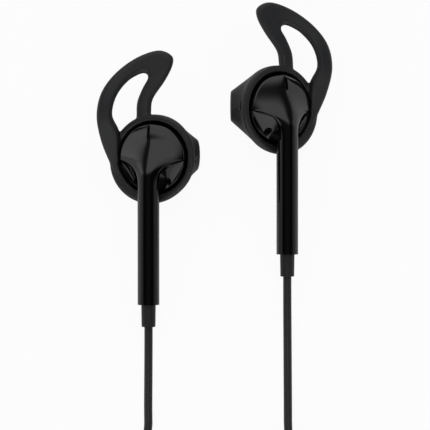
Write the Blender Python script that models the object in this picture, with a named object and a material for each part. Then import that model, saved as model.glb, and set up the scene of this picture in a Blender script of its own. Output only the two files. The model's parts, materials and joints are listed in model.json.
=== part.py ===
"""Wired earphones with silicone ear-hook covers.

They have two half-in-ear heads on stems, a Y cord, a slider and a 3.5 mm plug. Metres, +Z up. The two heads lie
ear side down on the surface z = 0, with their stems along Y and the cord running to -Y. Each head is modelled in
its own frame: x points to the sound nozzle's side, y up the stem, z out of the ear.
"""

import math

import bmesh
import bpy
from mathutils import Matrix, Vector

MM = 0.001

# Head and stem, in the head's own frame, whose origin is the centre of the cover's rim.
HEAD_RADIUS = 7.4 * MM
SEAM_TOP = -0.4 * MM  # where the seam leaves the head's rim, on both sides
SEAM_FLARES = (0.9 * MM, 4.0 * MM)  # how quickly the seam runs in, first to the neck and then along it
SEAM_WAIST = 1.7 * MM  # half the width between the seams where they end
SEAM_NECK = 2.0 * MM
SEAM_RISE = 1.1 * MM
SEAM_DROP = 1.3 * MM  # from the stem's ridge down to the seam along the neck
RIM_LEVEL = 0.5 * MM
RIM_SKIRT = 0.7 * MM
STEM_RADIUS = 2.35 * MM
STEM_AXIS_Z = 2.75 * MM
STEM_END = -31.6 * MM
STEM_WALL = 0.55 * MM
STEM_BLEND_START = -1.5 * MM
STEM_BLEND_END = -7.0 * MM
LOBE_FALL = (1.6, 4.0)  # how steeply the front shell's lobes drop from the seam, at its ends and at the neck
RIDGE_LEVEL_FROM = -4.0 * MM  # below here the ridge runs straight along the stem
CROWN_FROM = 4.5 * MM  # above here it lies at the crown's height
CROWN_RISE = 1.9 * MM
RIDGE_ROUNDING = 0.5 * MM
BACK_WALL = 0.8 * MM
SEAM_GAP = 0.14 * MM
SLOT = Vector((0.6, 2.6)) * MM
SLOT_X = -0.2 * MM
SLOT_Y = 5.3 * MM
PORT_PLACE = Vector((3.75, -5.1)) * MM
PORT_HALF = Vector((0.55, 0.95)) * MM

# Silicone cover.
RIM_INNER = 8.0 * MM
RIM_OUTER = 9.4 * MM
RIM_TOP = 0.1 * MM
RIM_BASE = -0.9 * MM
RIM_ROUNDING = 0.4 * MM
NOZZLE_END = Vector((7.6, 0.6, -8.2)) * MM
NOZZLE_BEND = Vector((0.0, 0.1, -4.6)) * MM
NOZZLE_TURN = math.radians(60)
NOZZLE_HALF = Vector((2.6, 3.2)) * MM
BULB_STEPS = (0, 0.15, 0.3, 0.45, 0.6, 0.73, 0.84)  # where the ear side's sections lie, from the rim at 0
COVER_WALL_RIM = 1.4 * MM
COVER_SWELL = 1.0 * MM  # how much fuller the cover is at the hook's root
COVER_SWELL_ANGLE = math.radians(222)
COVER_WALL_NOZZLE = 1.0 * MM
COVER_GAP = 0.15 * MM
NOZZLE_LIP = 0.9 * MM
NOZZLE_OPENING = Vector((1.8, 2.3)) * MM
WING_THICKNESS_ROOT = 2.5 * MM
WING_THICKNESS_TIP = 2.0 * MM
# Each pair is a point of the wing's outer edge and the one across from it on the edge of its opening.
WING_RIBS_MM = (
    ((-8.3, -5.4, -1.2), (-6.6, -2.6, -1.2)),
    ((-9.9, -1.4, -0.4), (-7.6, 1.2, -0.6)),
    ((-11.5, 3.6, 1.0), (-7.5, 5.7, 0.4)),
    ((-12.1, 9.0, 2.2), (-8.7, 9.3, 1.5)),
    ((-11.2, 14.0, 1.8), (-7.9, 13.4, 0.9)),
    ((-8.6, 18.3, -0.1), (-5.9, 16.6, -0.9)),
    ((-4.6, 21.7, -2.5), (-3.5, 18.2, -2.5)),
    ((-0.2, 23.3, -4.3), (-2.4, 18.1, -3.0)),
    ((2.7, 22.2, -4.9), (-2.1, 17.5, -3.0)),
    ((3.0, 20.2, -4.8), (-2.3, 16.7, -2.9)),
    ((1.6, 16.8, -3.8), (-3.3, 14.7, -2.4)),
    ((-0.8, 12.8, -2.6), (-4.2, 12.0, -1.9)),
    ((-1.0, 9.8, -1.9), (-4.2, 9.2, -1.5)),
    ((-1.2, 7.4, -1.4), (-4.2, 6.6, -1.4)),
)
WING_STEPS = 2

# Front shell's inside, and the driver, which are turned about the head's z axis.
FRONT_WALL = 0.8 * MM
SHELL_BORE = 5.4 * MM
LEDGE_Z = -3.3 * MM
LEDGE_RADIUS = 4.5 * MM
BORE_TOP = -0.35 * MM
SPOUT_OPENING = Vector((1.3, 1.8)) * MM
GRILLE_THICKNESS = 0.35 * MM
GRILLE_HOLE = 0.27 * MM
FIT = 0.1 * MM  # clearance between glued or seated pieces
BASKET_RADIUS = 5.2 * MM
BASKET_WALL = 0.5 * MM
BASKET_PLATE = 0.4 * MM
BASKET_HEIGHT = 1.55 * MM
GASKET_THICKNESS = 0.3 * MM
DAMPER_THICKNESS = 0.2 * MM
YOKE_RADIUS = 3.3 * MM
YOKE_WALL = 0.45 * MM
YOKE_DEPTH = 1.75 * MM
MAGNET_RADIUS = 2.1 * MM
MAGNET_HEIGHT = 0.65 * MM
TOP_PLATE_HEIGHT = 0.35 * MM
COIL_GAP = 0.17 * MM
COIL_WALL = 0.3 * MM
COIL_HEIGHT = 1.0 * MM
FILM_THICKNESS = 0.12 * MM
FILM_TRAVEL = 0.15 * MM
BOARD = Vector((3.0, 1.4, 0.35)) * MM
BOARD_Y = -4.1 * MM
LEAD_RADIUS = 0.4 * MM
CRIMP_RADIUS = 1.3 * MM
CRIMP_LENGTH = 3.0 * MM
RELIEF_TOP_RADIUS = 1.57 * MM
RELIEF_END_RADIUS = 1.5 * MM
RELIEF_LENGTH = 4.8 * MM
RELIEF_INSERT = 2.5 * MM
RELIEF_BORE = 1.05 * MM
RELIEF_BORE_DEPTH = 1.0 * MM

# How the heads lie.
STEM_SPACING = 30.0 * MM
HEAD_STAGGER = 11.25 * MM  # how much further up the left head lies
YAW = {"right": math.radians(18), "left": math.radians(32)}
PITCH = {"right": math.radians(15.3), "left": math.radians(14.0)}

# Cord.
TOUCH = 0.3 * MM  # between pieces that touch
BRANCH_DIAMETER = 1.8 * MM
MAIN_DIAMETER = 2.2 * MM
TURN_GAP = 0.5 * MM
POINTS_A_TURN = 20
TIE_THICKNESS = 0.5 * MM
TIE_WIDTH = 3.0 * MM
BRANCH_COIL_RADIUS = 10.5 * MM  # of the outermost turn's middle
BRANCH_COIL_X = 14.0 * MM
BRANCH_COIL_Y = -76.0 * MM
BRANCH_TURNS_A_LAYER = 2.625
BRANCH_LAYERS = 2
MAIN_COIL_RADIUS = 14.0 * MM
MAIN_COIL_X = -8.5 * MM
MAIN_COIL_Y = -156.0 * MM
MAIN_TURNS_A_LAYER = 3.125
MAIN_LAYERS = 4
PAIR_HALF_PITCH = 1.3 * MM
PAIR_START_Y = -99.0 * MM
SLIDER_LENGTH = 6.0 * MM
SLIDER_BORE = 1.1 * MM
SLIDER_WALL = 0.7 * MM
SPLITTER_TOP_Y = -118.0 * MM
SPLITTER_LENGTH = 12.0 * MM
SPLITTER_EDGE = 0.9 * MM
SPLITTER_RELIEF_LENGTH = 4.0 * MM
SLIDER_EDGE = 0.7 * MM
PAIR_Z = 1.6 * MM
PLUG_Z = 3.1 * MM
PLUG_GAP_Y = 17.0 * MM
PLUG_RELIEF_LENGTH = 8.0 * MM
PLUG_RELIEF_RADII = (1.6 * MM, 2.2 * MM)
PLUG_RADIUS = 3.0 * MM
PLUG_LENGTH = 15.0 * MM
PLUG_EDGE = 0.5 * MM
JACK_RADIUS = 1.75 * MM
JACK_INSULATOR = 0.5 * MM
JACK_SLEEVE_LENGTH = 8.6 * MM
JACK_RING_LENGTH = 1.6 * MM
JACK_TIP_LENGTH = 3.0 * MM

ROUND = 16  # sides of small turned pieces
RIM_SIDES = 24
SECTION_SIDES = 16


def clear_scene():
    for item in list(bpy.data.objects):
        bpy.data.objects.remove(item, do_unlink=True)


def collection(name, shown=True):
    made = bpy.data.collections.new(name)
    bpy.context.scene.collection.children.link(made)
    made.hide_render = not shown
    return made


def material(name, rgb, roughness, metallic=0.0):
    made = bpy.data.materials.new(name)
    made.use_nodes = True
    shader = made.node_tree.nodes["Principled BSDF"]
    shader.inputs["Base Color"].default_value = (*rgb, 1)
    shader.inputs["Roughness"].default_value = roughness
    shader.inputs["Metallic"].default_value = metallic
    return made


def smoothstep(value):
    value = min(max(value, 0.0), 1.0)
    return value * value * (3 - 2 * value)


def curve_through(points, steps):
    """Points along a Catmull-Rom curve through the given ones, with this many steps between neighbours."""
    points = [Vector(point) for point in points]
    padded = [2 * points[0] - points[1], *points, 2 * points[-1] - points[-2]]
    made = []
    for k in range(len(points) - 1):
        a, b, c, d = padded[k : k + 4]
        square = 2 * a - 5 * b + 4 * c - d
        cubic = 3 * b - a - 3 * c + d
        for step in range(steps):
            t = step / steps
            made.append(0.5 * (2 * b + (c - a) * t + square * t**2 + cubic * t**3))
    return [*made, points[-1]]


# ---- solids, each returned as an object that is not yet a node


def helper(mesh_or_bmesh, name="form"):
    """An object in the cutters' collection; place() makes it a node, and used() takes it away."""
    if isinstance(mesh_or_bmesh, bmesh.types.BMesh):
        data = bpy.data.meshes.new(name)
        mesh_or_bmesh.to_mesh(data)
        mesh_or_bmesh.free()
    else:
        data = mesh_or_bmesh
    made = bpy.data.objects.new(name, data)
    made.hide_render = True
    made.display_type = "WIRE"
    CUTTERS.objects.link(made)
    return made


def loft(rings):
    """A closed skin over rings of as many points each, with a flat cap on both ends."""
    made = bmesh.new()
    loops = [[made.verts.new(point) for point in ring] for ring in rings]
    for low, high in zip(loops, loops[1:]):
        for k in range(len(low)):
            made.faces.new((low[k - 1], low[k], high[k], high[k - 1]))
    made.faces.new(loops[0][::-1])
    made.faces.new(loops[-1])
    bmesh.ops.recalc_face_normals(made, faces=made.faces)
    return helper(made)


def turned(profile, sides=ROUND):
    """A solid turned about z from a profile of (radius, z), which runs once round its section."""
    made = bmesh.new()
    points = [made.verts.new((radius, 0, height)) for radius, height in profile]
    edges = [made.edges.new((points[k - 1], points[k])) for k in range(len(points))]
    bmesh.ops.spin(
        made,
        geom=points + edges,
        axis=(0, 0, 1),
        cent=(0, 0, 0),
        steps=sides,
        angle=math.tau,
        use_merge=True,
    )
    bmesh.ops.remove_doubles(made, verts=made.verts, dist=0.00001)
    bmesh.ops.recalc_face_normals(made, faces=made.faces)
    return helper(made)


def block(size, centre, rounding=0.0):
    made = bmesh.new()
    bmesh.ops.create_cube(made, size=1)
    bmesh.ops.scale(made, vec=size, verts=made.verts)
    if rounding:
        bmesh.ops.bevel(
            made,
            geom=made.edges,
            offset=rounding,
            segments=2,
            profile=0.5,
            affect="EDGES",
            material=-1,
        )
    bmesh.ops.translate(made, vec=centre, verts=made.verts)
    return helper(made)


def tube(points, diameter, bevel_resolution):
    """A round tube through the points, as a welded mesh."""
    data = bpy.data.curves.new("route", "CURVE")
    data.dimensions = "3D"
    data.bevel_depth = diameter / 2
    data.bevel_resolution = bevel_resolution
    data.use_fill_caps = True
    spline = data.splines.new("POLY")
    spline.points.add(len(points) - 1)
    for target, point in zip(spline.points, points):
        target.co = (*point, 1)
    guide = bpy.data.objects.new("route", data)
    CUTTERS.objects.link(guide)
    bpy.context.view_layer.update()
    graph = bpy.context.evaluated_depsgraph_get()
    mesh = bpy.data.meshes.new_from_object(guide.evaluated_get(graph))
    bpy.data.objects.remove(guide)
    welded = bmesh.new()
    welded.from_mesh(mesh)
    bmesh.ops.remove_doubles(welded, verts=welded.verts, dist=0.00001)
    return helper(welded)


def moved(solid, matrix):
    solid.data.transform(matrix)
    return solid


def combined(base, others, operation):
    """The base with the other solids cut from it or joined to it, which uses them up."""
    for other in others:
        modifier = base.modifiers.new("Combine", "BOOLEAN")
        modifier.operation = operation
        modifier.object = other
    bpy.context.view_layer.update()
    graph = bpy.context.evaluated_depsgraph_get()
    mesh = bpy.data.meshes.new_from_object(base.evaluated_get(graph))
    for used in (base, *others):
        bpy.data.objects.remove(used)
    return helper(mesh)


def cut(base, *others):
    return combined(base, others, "DIFFERENCE")


def joined(base, *others):
    return combined(base, others, "UNION")


def copy_of(solid):
    return helper(solid.data.copy())


def place(name, solid, finish, parent=None, location=(0, 0, 0)):
    """Makes a node that shares the solid's mesh."""
    node = bpy.data.objects.new(name, solid.data)
    PARTS.objects.link(node)
    node.parent = parent
    node.location = location
    solid.data.materials.clear()
    solid.data.materials.append(finish)
    solid.data.shade_smooth()
    solid.data.set_sharp_from_angle(angle=math.radians(35))
    return node


# ---- the head's forms


def seam_half_width(y, grow):
    """Half the back shell's width at this height: round above the seam's ends, then drawn in along the neck."""
    radius = HEAD_RADIUS + grow
    if y >= SEAM_TOP:
        return math.sqrt(max(radius**2 - y**2, 0))
    first, second = (math.exp((y - SEAM_TOP) / flare) for flare in SEAM_FLARES)
    return SEAM_WAIST + grow + (HEAD_RADIUS - SEAM_WAIST - SEAM_NECK) * first + SEAM_NECK * second


def seam_level(y):
    if y >= SEAM_TOP:
        return RIM_LEVEL
    top = STEM_AXIS_Z + STEM_RADIUS - SEAM_DROP
    return RIM_LEVEL + (top - RIM_LEVEL) * (1 - math.exp((y - SEAM_TOP) / SEAM_RISE))


def ridge_level(y):
    """The height of the ridge, which runs from the stem's top down to the crown and over the crown's edge."""
    stem = STEM_AXIS_Z + STEM_RADIUS
    share = min(max(y / (HEAD_RADIUS + 2 * FIT), 0), 1)
    crown = RIM_LEVEL + CROWN_RISE * math.sqrt(1 - share**6)
    return crown + (stem - crown) * smoothstep((CROWN_FROM - y) / (CROWN_FROM - RIDGE_LEVEL_FROM))


def roof_level(x, y, grow=0.0):
    """The back shell's height over a point, below a ridge whose rounding grows towards the stem."""
    half = seam_half_width(y, grow)
    ridge = ridge_level(y) + grow
    edge = seam_level(y)
    rounding = RIDGE_ROUNDING + STEM_RADIUS * smoothstep((SLOT_Y - y) / (SLOT_Y - STEM_BLEND_END))
    slope = (ridge - edge) / (math.hypot(half, rounding) - rounding)
    return ridge - slope * (math.hypot(x, rounding) - rounding)


def back_section(y, grow, floor):
    """A ring of points round the back shell: a ridged roof that turns into the stem's circle."""
    blend = smoothstep((STEM_BLEND_START - y) / (STEM_BLEND_START - STEM_BLEND_END))
    half = seam_half_width(y, grow)
    radius = STEM_RADIUS + grow
    ring = []
    for k in range(SECTION_SIDES):
        angle = math.tau * k / SECTION_SIDES
        x = half * math.cos(angle)
        if k <= SECTION_SIDES // 2:
            z = roof_level(x, y, grow)
        else:
            z = seam_level(y) - RIM_SKIRT - grow if floor is None else floor
        round_x = radius * math.cos(angle)
        round_z = STEM_AXIS_Z + radius * math.sin(angle)
        ring.append(Vector((x + (round_x - x) * blend, y, z + (round_z - z) * blend)))
    return ring


def back_form(grow, end, floor=None):
    """The back shell's outside or, with a negative grow, its inside, which is open down to the floor's level."""
    top = HEAD_RADIUS + grow
    crown = [top * math.cos(math.radians(angle)) for angle in (12, 28, 46, 64, 80)]
    shares = (0, 0.05, 0.12, 0.21, 0.33, 0.48, 0.7, 0.94)
    neck = [SEAM_TOP + (STEM_BLEND_END - SEAM_TOP) * share for share in shares]
    return loft([back_section(y, grow, floor) for y in (*crown, *neck, end)])


def bulb_section(along, inset, swell=0.0):
    """A ring of the head's ear side, from the rim, at 0, to the nozzle's flat end, at 1."""
    rim_centre = Vector((0, 0, RIM_BASE))
    centre = rim_centre.lerp(NOZZLE_BEND, along).lerp(NOZZLE_BEND.lerp(NOZZLE_END, along), along)
    turn = NOZZLE_TURN * along**1.6
    across = Vector((math.cos(turn), 0, math.sin(turn)))
    half_x = NOZZLE_HALF.x + (RIM_OUTER - NOZZLE_HALF.x) * (1 - along**1.45) - inset
    half_y = NOZZLE_HALF.y + (RIM_OUTER - NOZZLE_HALF.y) * (1 - along**2.2) - inset
    return oval(centre, across, half_x, half_y, swell * (1 - along))


def oval(centre, across, half_x, half_y, swell=0.0):
    """An ellipse of points, fuller by the swell towards the hook's root."""
    ring = []
    for k in range(RIM_SIDES):
        angle = math.tau * k / RIM_SIDES
        fuller = swell * max(math.cos(angle - COVER_SWELL_ANGLE), 0) ** 1.5
        x = (half_x + fuller) * math.cos(angle)
        y = (half_y + fuller) * math.sin(angle)
        ring.append(centre + across * x + Vector((0, y, 0)))
    return ring


def rim_section(radius, level, swell=0.0):
    return oval(Vector((0, 0, level)), Vector((1, 0, 0)), radius, radius, swell)


NOZZLE_AXIS = Vector((math.sin(NOZZLE_TURN), 0, -math.cos(NOZZLE_TURN)))
NOZZLE_ACROSS = Vector((math.cos(NOZZLE_TURN), 0, math.sin(NOZZLE_TURN)))


def nozzle_section(half, back):
    """An oval square to the nozzle, this far back from its end."""
    return oval(NOZZLE_END - NOZZLE_AXIS * back, NOZZLE_ACROSS, half.x, half.y)


def wing():
    """The looped ear hook: a flat band with round edges that leaves the rim, turns at its tip and comes back."""
    outer = curve_through([Vector(rib[0]) * MM for rib in WING_RIBS_MM], WING_STEPS)
    inner = curve_through([Vector(rib[1]) * MM for rib in WING_RIBS_MM], WING_STEPS)
    middle = [(a + b) / 2 for a, b in zip(outer, inner)]
    rings = []
    for k in range(len(middle)):
        across = (inner[k] - outer[k]).normalized()
        along = middle[min(k + 1, len(middle) - 1)] - middle[max(k - 1, 0)]
        face = across.cross(along).normalized()
        reach = math.sin(math.pi * k / (len(middle) - 1))
        half = (WING_THICKNESS_ROOT + (WING_THICKNESS_TIP - WING_THICKNESS_ROOT) * reach) / 2
        ring = []
        for edge, way in ((outer[k], 1), (inner[k], -1)):
            for degrees in (90, 45, 0, -45, -90):
                angle = math.radians(degrees)
                inward = half * (1 - math.cos(angle))
                ring.append(edge + across * way * inward + face * way * half * math.sin(angle))
        rings.append(ring)
    return loft(rings)


def cover():
    outside = loft(
        [
            rim_section(RIM_OUTER - RIM_ROUNDING, RIM_TOP, 0.7 * COVER_SWELL),
            rim_section(RIM_OUTER, RIM_TOP - RIM_ROUNDING, 0.9 * COVER_SWELL),
            *(bulb_section(along, 0, COVER_SWELL) for along in (*BULB_STEPS, 0.93, 1)),
        ]
    )
    lip = 1 - NOZZLE_LIP / NOZZLE_END.length
    inside = [rim_section(RIM_INNER, level) for level in (RIM_TOP + TOUCH, RIM_BASE)]
    for along in BULB_STEPS[1:]:
        inside.append(bulb_section(along, COVER_WALL_RIM + (COVER_WALL_NOZZLE - COVER_WALL_RIM) * along))
    inside.append(bulb_section(lip, COVER_WALL_NOZZLE))
    opening = loft([nozzle_section(NOZZLE_OPENING, back) for back in (2 * NOZZLE_LIP, -NOZZLE_LIP)])
    return cut(joined(outside, wing()), loft(inside), opening)


def lobes():
    """The front shell's rear side below the seam: two shallow lobes that sweep up the flanks of the neck."""
    rings = []
    radius = HEAD_RADIUS - FIT
    low = -0.93 * radius
    for step in (0, 0.05, 0.12, 0.21, 0.33, 0.48, 0.66, 0.84, 1):
        y = SEAM_TOP + (low - SEAM_TOP) * step
        rim = math.sqrt(radius**2 - y**2)
        seam = min(seam_half_width(y, 0), rim - COVER_GAP)
        fall = LOBE_FALL[0] + (LOBE_FALL[1] - LOBE_FALL[0]) * smoothstep((SEAM_TOP - y) / (SEAM_TOP - low))
        ring = []
        for way in (1, -1):
            for share in (1, 0.7, 0.45, 0.28, 0.14, 0)[::way]:
                x = seam + (rim - seam) * share
                level = (seam_level(y) - SEAM_GAP) * (1 - share) ** fall
                ring.append(Vector((way * x, y, level)))
        ring += [Vector((-rim, y, BORE_TOP - FRONT_WALL)), Vector((rim, y, BORE_TOP - FRONT_WALL))]
        rings.append(ring)
    return loft(rings)


def shell_inset(along):
    rim = RIM_OUTER - HEAD_RADIUS
    return rim + (COVER_WALL_NOZZLE + COVER_GAP - rim) * along


def front_shell(back_outside, back_inside):
    lip = 1 - (NOZZLE_LIP + 2 * COVER_GAP) / NOZZLE_END.length
    rings = [rim_section(HEAD_RADIUS, RIM_LEVEL - RIM_SKIRT)]
    rings += [bulb_section(along, shell_inset(along)) for along in (*BULB_STEPS, lip)]
    bowl = loft(rings)
    levels = (LEDGE_Z, BORE_TOP - FRONT_WALL, BORE_TOP)
    bore = turned(((0, LEDGE_Z), *((SHELL_BORE, level) for level in levels), (0, BORE_TOP)))
    chamber = loft(
        [
            oval(Vector((0, 0, LEDGE_Z + FIT)), Vector((1, 0, 0)), LEDGE_RADIUS, LEDGE_RADIUS),
            *(bulb_section(along, shell_inset(along) + 2.5 * FRONT_WALL) for along in (0.5, 0.65, 0.8)),
            nozzle_section(SPOUT_OPENING, 2 * NOZZLE_LIP),
            nozzle_section(SPOUT_OPENING, -NOZZLE_LIP),
        ]
    )
    ports = [
        moved(
            disc(1, BORE_TOP - 3 * FIT, STEM_AXIS_Z, sides=10),
            Matrix.Translation((way * PORT_PLACE.x, PORT_PLACE.y, 0)) @ Matrix.Diagonal((*PORT_HALF, 1, 1)),
        )
        for way in (1, -1)
    ]
    wire_way_middle = (0, BOARD_Y, BORE_TOP + STEM_AXIS_Z / 2 - 2 * FIT)
    wire_way = block(Vector((3 * LEAD_RADIUS, BOARD.y, STEM_AXIS_Z)), wire_way_middle)
    return cut(joined(bowl, lobes()), back_outside, back_inside, bore, chamber, wire_way, *ports)


def grille():
    back = NOZZLE_LIP
    plate = loft(
        [
            nozzle_section(NOZZLE_OPENING - Vector((FIT, FIT)), back),
            nozzle_section(NOZZLE_OPENING - Vector((FIT, FIT)), back - GRILLE_THICKNESS),
        ]
    )
    turn = Matrix.Rotation(-NOZZLE_TURN, 4, "Y").inverted()
    frame = Matrix.Translation(NOZZLE_END - NOZZLE_AXIS * back) @ turn
    holes = []
    for row, count in ((-1, 2), (0, 3), (1, 2)):
        for k in range(count):
            spot = Vector((row * 2.8 * GRILLE_HOLE, (k - (count - 1) / 2) * 3.4 * GRILLE_HOLE, 0))
            pin = turned(((0, -MM), (GRILLE_HOLE, -MM), (GRILLE_HOLE, MM), (0, MM)), 8)
            holes.append(moved(pin, frame @ Matrix.Translation(spot)))
    return cut(plate, *holes)


def disc(radius, low, high, bore=0.0, sides=ROUND):
    return turned(((bore, low), (radius, low), (radius, high), (bore, high)), sides)


def cup(radius, bore, low, floor, high):
    """Turned, open below: a wall from low to high with a floor across it from the level floor up."""
    return turned(((bore, low), (radius, low), (radius, high), (0, high), (0, floor), (bore, floor)))


# Levels of the driver's pieces along the head's z, from its ledge in the front shell.
BASKET_FRONT = LEDGE_Z + GASKET_THICKNESS + FIT
BASKET_BACK = BASKET_FRONT + BASKET_HEIGHT
FILM_LEVEL = BASKET_FRONT + 2 * FILM_TRAVEL
YOKE_FRONT = FILM_LEVEL + FILM_TRAVEL + 2 * FIT
YOKE_BACK = YOKE_FRONT + YOKE_DEPTH
YOKE_BORE = YOKE_RADIUS - YOKE_WALL
MAGNET_BACK = YOKE_BACK - YOKE_WALL - FIT
MAGNET_FRONT = MAGNET_BACK - MAGNET_HEIGHT
PLATE_BACK = MAGNET_FRONT - FIT
PLATE_FRONT = PLATE_BACK - TOP_PLATE_HEIGHT
PLATE_RADIUS = YOKE_BORE - 2 * COIL_GAP - COIL_WALL
COIL_FRONT = FILM_LEVEL + FILM_THICKNESS / 2 + FIT


def film():
    """The diaphragm: a centre dome and a rolled surround, pressed from thin film."""
    dome_radius = YOKE_BORE - COIL_GAP - COIL_WALL / 2
    edge = BASKET_RADIUS - BASKET_WALL - FIT
    middle = (dome_radius + edge) / 2
    line = [(0, -0.45), (0.5 * dome_radius, -0.32), (dome_radius, 0), (middle, -0.3), (edge, 0)]
    front = [(radius, FILM_LEVEL + height * MM - FILM_THICKNESS / 2) for radius, height in line]
    back = [(radius, level + FILM_THICKNESS) for radius, level in reversed(front)]
    return turned(front + back)


def basket():
    """The driver's frame: a rim round the film and a rear plate with a bore for the yoke and four vents."""
    inner = BASKET_RADIUS - BASKET_WALL
    floor = BASKET_BACK - BASKET_PLATE
    bore = YOKE_RADIUS + FIT
    frame = turned(
        (
            (inner, BASKET_FRONT),
            (BASKET_RADIUS, BASKET_FRONT),
            (BASKET_RADIUS, BASKET_BACK),
            (bore, BASKET_BACK),
            (bore, floor),
            (inner, floor),
        )
    )
    vents = []
    for k in range(4):
        pin = disc((inner - bore) / 4, floor - FIT, BASKET_BACK + FIT, sides=8)
        angle = math.radians(45 + 90 * k)
        reach = (inner + bore) / 2
        vents.append(moved(pin, Matrix.Translation((reach * math.cos(angle), reach * math.sin(angle), 0))))
    return cut(frame, *vents)


def vent_mesh():
    """The cloth patch inside the back shell, under its slot."""
    low = SLOT_Y - SLOT.y / 2
    high = low + SLOT.y - 4 * FIT
    slope = math.atan2(ridge_level(high) - ridge_level(low), high - low)
    patch = block(Vector((2 * SLOT.x, high - low, 2 * FIT)), (0, 0, 0))
    level = (ridge_level(high) + ridge_level(low)) / 2 - (BACK_WALL + 3.5 * FIT) / math.cos(slope)
    place = Matrix.Translation((SLOT_X, (low + high) / 2, level))
    return moved(patch, place @ Matrix.Rotation(slope, 4, "X"))


def relief():
    bottom = -RELIEF_LENGTH
    profile = (
        (0, RELIEF_INSERT),
        (0, bottom + RELIEF_BORE_DEPTH),
        (RELIEF_BORE, bottom + RELIEF_BORE_DEPTH),
        (RELIEF_BORE, bottom),
        (RELIEF_END_RADIUS, bottom),
        (RELIEF_TOP_RADIUS, -FIT),
        (RELIEF_TOP_RADIUS, RELIEF_INSERT),
    )
    return along_stem(turned(profile, 16), STEM_END)


def along_stem(solid, y):
    """Lays a piece made about z on the stem's axis, with its z along the stem from this height."""
    return moved(solid, Matrix.Translation((0, y, STEM_AXIS_Z)) @ Matrix.Rotation(-math.pi / 2, 4, "X"))


def lead_pair():
    board_top = BASKET_BACK + DAMPER_THICKNESS + 2 * FIT + BOARD.z
    crimp_top = STEM_END + RELIEF_INSERT + FIT + CRIMP_LENGTH + FIT
    route = (
        (0, BOARD_Y, board_top + FIT),
        (0, BOARD_Y, board_top + 3 * LEAD_RADIUS),
        (0, BOARD_Y - 1.5 * LEAD_RADIUS, STEM_AXIS_Z - 2 * LEAD_RADIUS),
        (0, BOARD_Y - 8 * LEAD_RADIUS, STEM_AXIS_Z),
        (0.3 * MM, (BOARD_Y + crimp_top) / 2, STEM_AXIS_Z),
        (0, crimp_top + 4 * MM, STEM_AXIS_Z),
        (0, crimp_top, STEM_AXIS_Z),
    )
    return tube(curve_through(route, 2), 2 * LEAD_RADIUS, 0)


def head_pieces():
    """Every piece of one head in the head's own frame, by name, with its finish."""
    back_outside = back_form(SEAM_GAP, STEM_END)
    shell_inside = back_form(-BACK_WALL, STEM_BLEND_END, floor=BORE_TOP - FIT)
    slot = block(Vector((SLOT.x, SLOT.y, 6 * BACK_WALL)), (SLOT_X, SLOT_Y, ridge_level(SLOT_Y)))
    bore_length = STEM_BLEND_END + MM - STEM_END
    stem_bore = along_stem(disc(STEM_RADIUS - STEM_WALL, -MM, bore_length, sides=SECTION_SIDES), STEM_END)
    back = cut(back_form(0, STEM_END), copy_of(shell_inside), slot, stem_bore)
    gasket_low = LEDGE_Z + FIT / 2
    damper_low = BASKET_BACK + FIT
    damper_top = damper_low + DAMPER_THICKNESS
    board_low = damper_top + FIT
    crimp_low = RELIEF_INSERT + FIT
    coil_outer = YOKE_BORE - COIL_GAP
    coil_back = COIL_FRONT + COIL_HEIGHT
    return {
        "back_shell": (back, GLOSS_BLACK),
        "front_shell": (front_shell(back_outside, shell_inside), GLOSS_BLACK),
        "ear_hook_cover": (cover(), SILICONE),
        "nozzle_grille": (grille(), STEEL),
        "vent_mesh": (vent_mesh(), CLOTH),
        "driver_gasket": (disc(BASKET_RADIUS, gasket_low, gasket_low + GASKET_THICKNESS, LEDGE_RADIUS), FOAM),
        "driver_basket": (basket(), BASKET_PLASTIC),
        "driver_damper": (disc(BASKET_RADIUS - FIT, damper_low, damper_top, YOKE_RADIUS + FIT), FOAM),
        "driver_yoke": (cup(YOKE_RADIUS, YOKE_BORE, YOKE_FRONT, YOKE_BACK - YOKE_WALL, YOKE_BACK), STEEL),
        "driver_magnet": (disc(MAGNET_RADIUS, MAGNET_FRONT, MAGNET_BACK), MAGNET),
        "driver_top_plate": (disc(PLATE_RADIUS, PLATE_FRONT, PLATE_BACK), STEEL),
        "voice_coil": (disc(coil_outer, COIL_FRONT, coil_back, coil_outer - COIL_WALL), COPPER),
        "diaphragm": (film(), FILM),
        "terminal_board": (block(BOARD, (0, BOARD_Y, board_low + BOARD.z / 2)), BOARD_GREEN),
        "lead_pair": (lead_pair(), COPPER),
        "cable_crimp": (
            along_stem(disc(CRIMP_RADIUS, crimp_low, crimp_low + CRIMP_LENGTH, sides=12), STEM_END),
            STEEL,
        ),
        "strain_relief": (relief(), SATIN_RUBBER),
    }


def corners(nodes):
    """The lowest and the highest corner of the box round these nodes."""
    points = [node.matrix_world @ vertex.co for node in nodes for vertex in node.data.vertices]
    return (
        Vector([min(point[axis] for point in points) for axis in range(3)]),
        Vector([max(point[axis] for point in points) for axis in range(3)]),
    )


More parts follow.
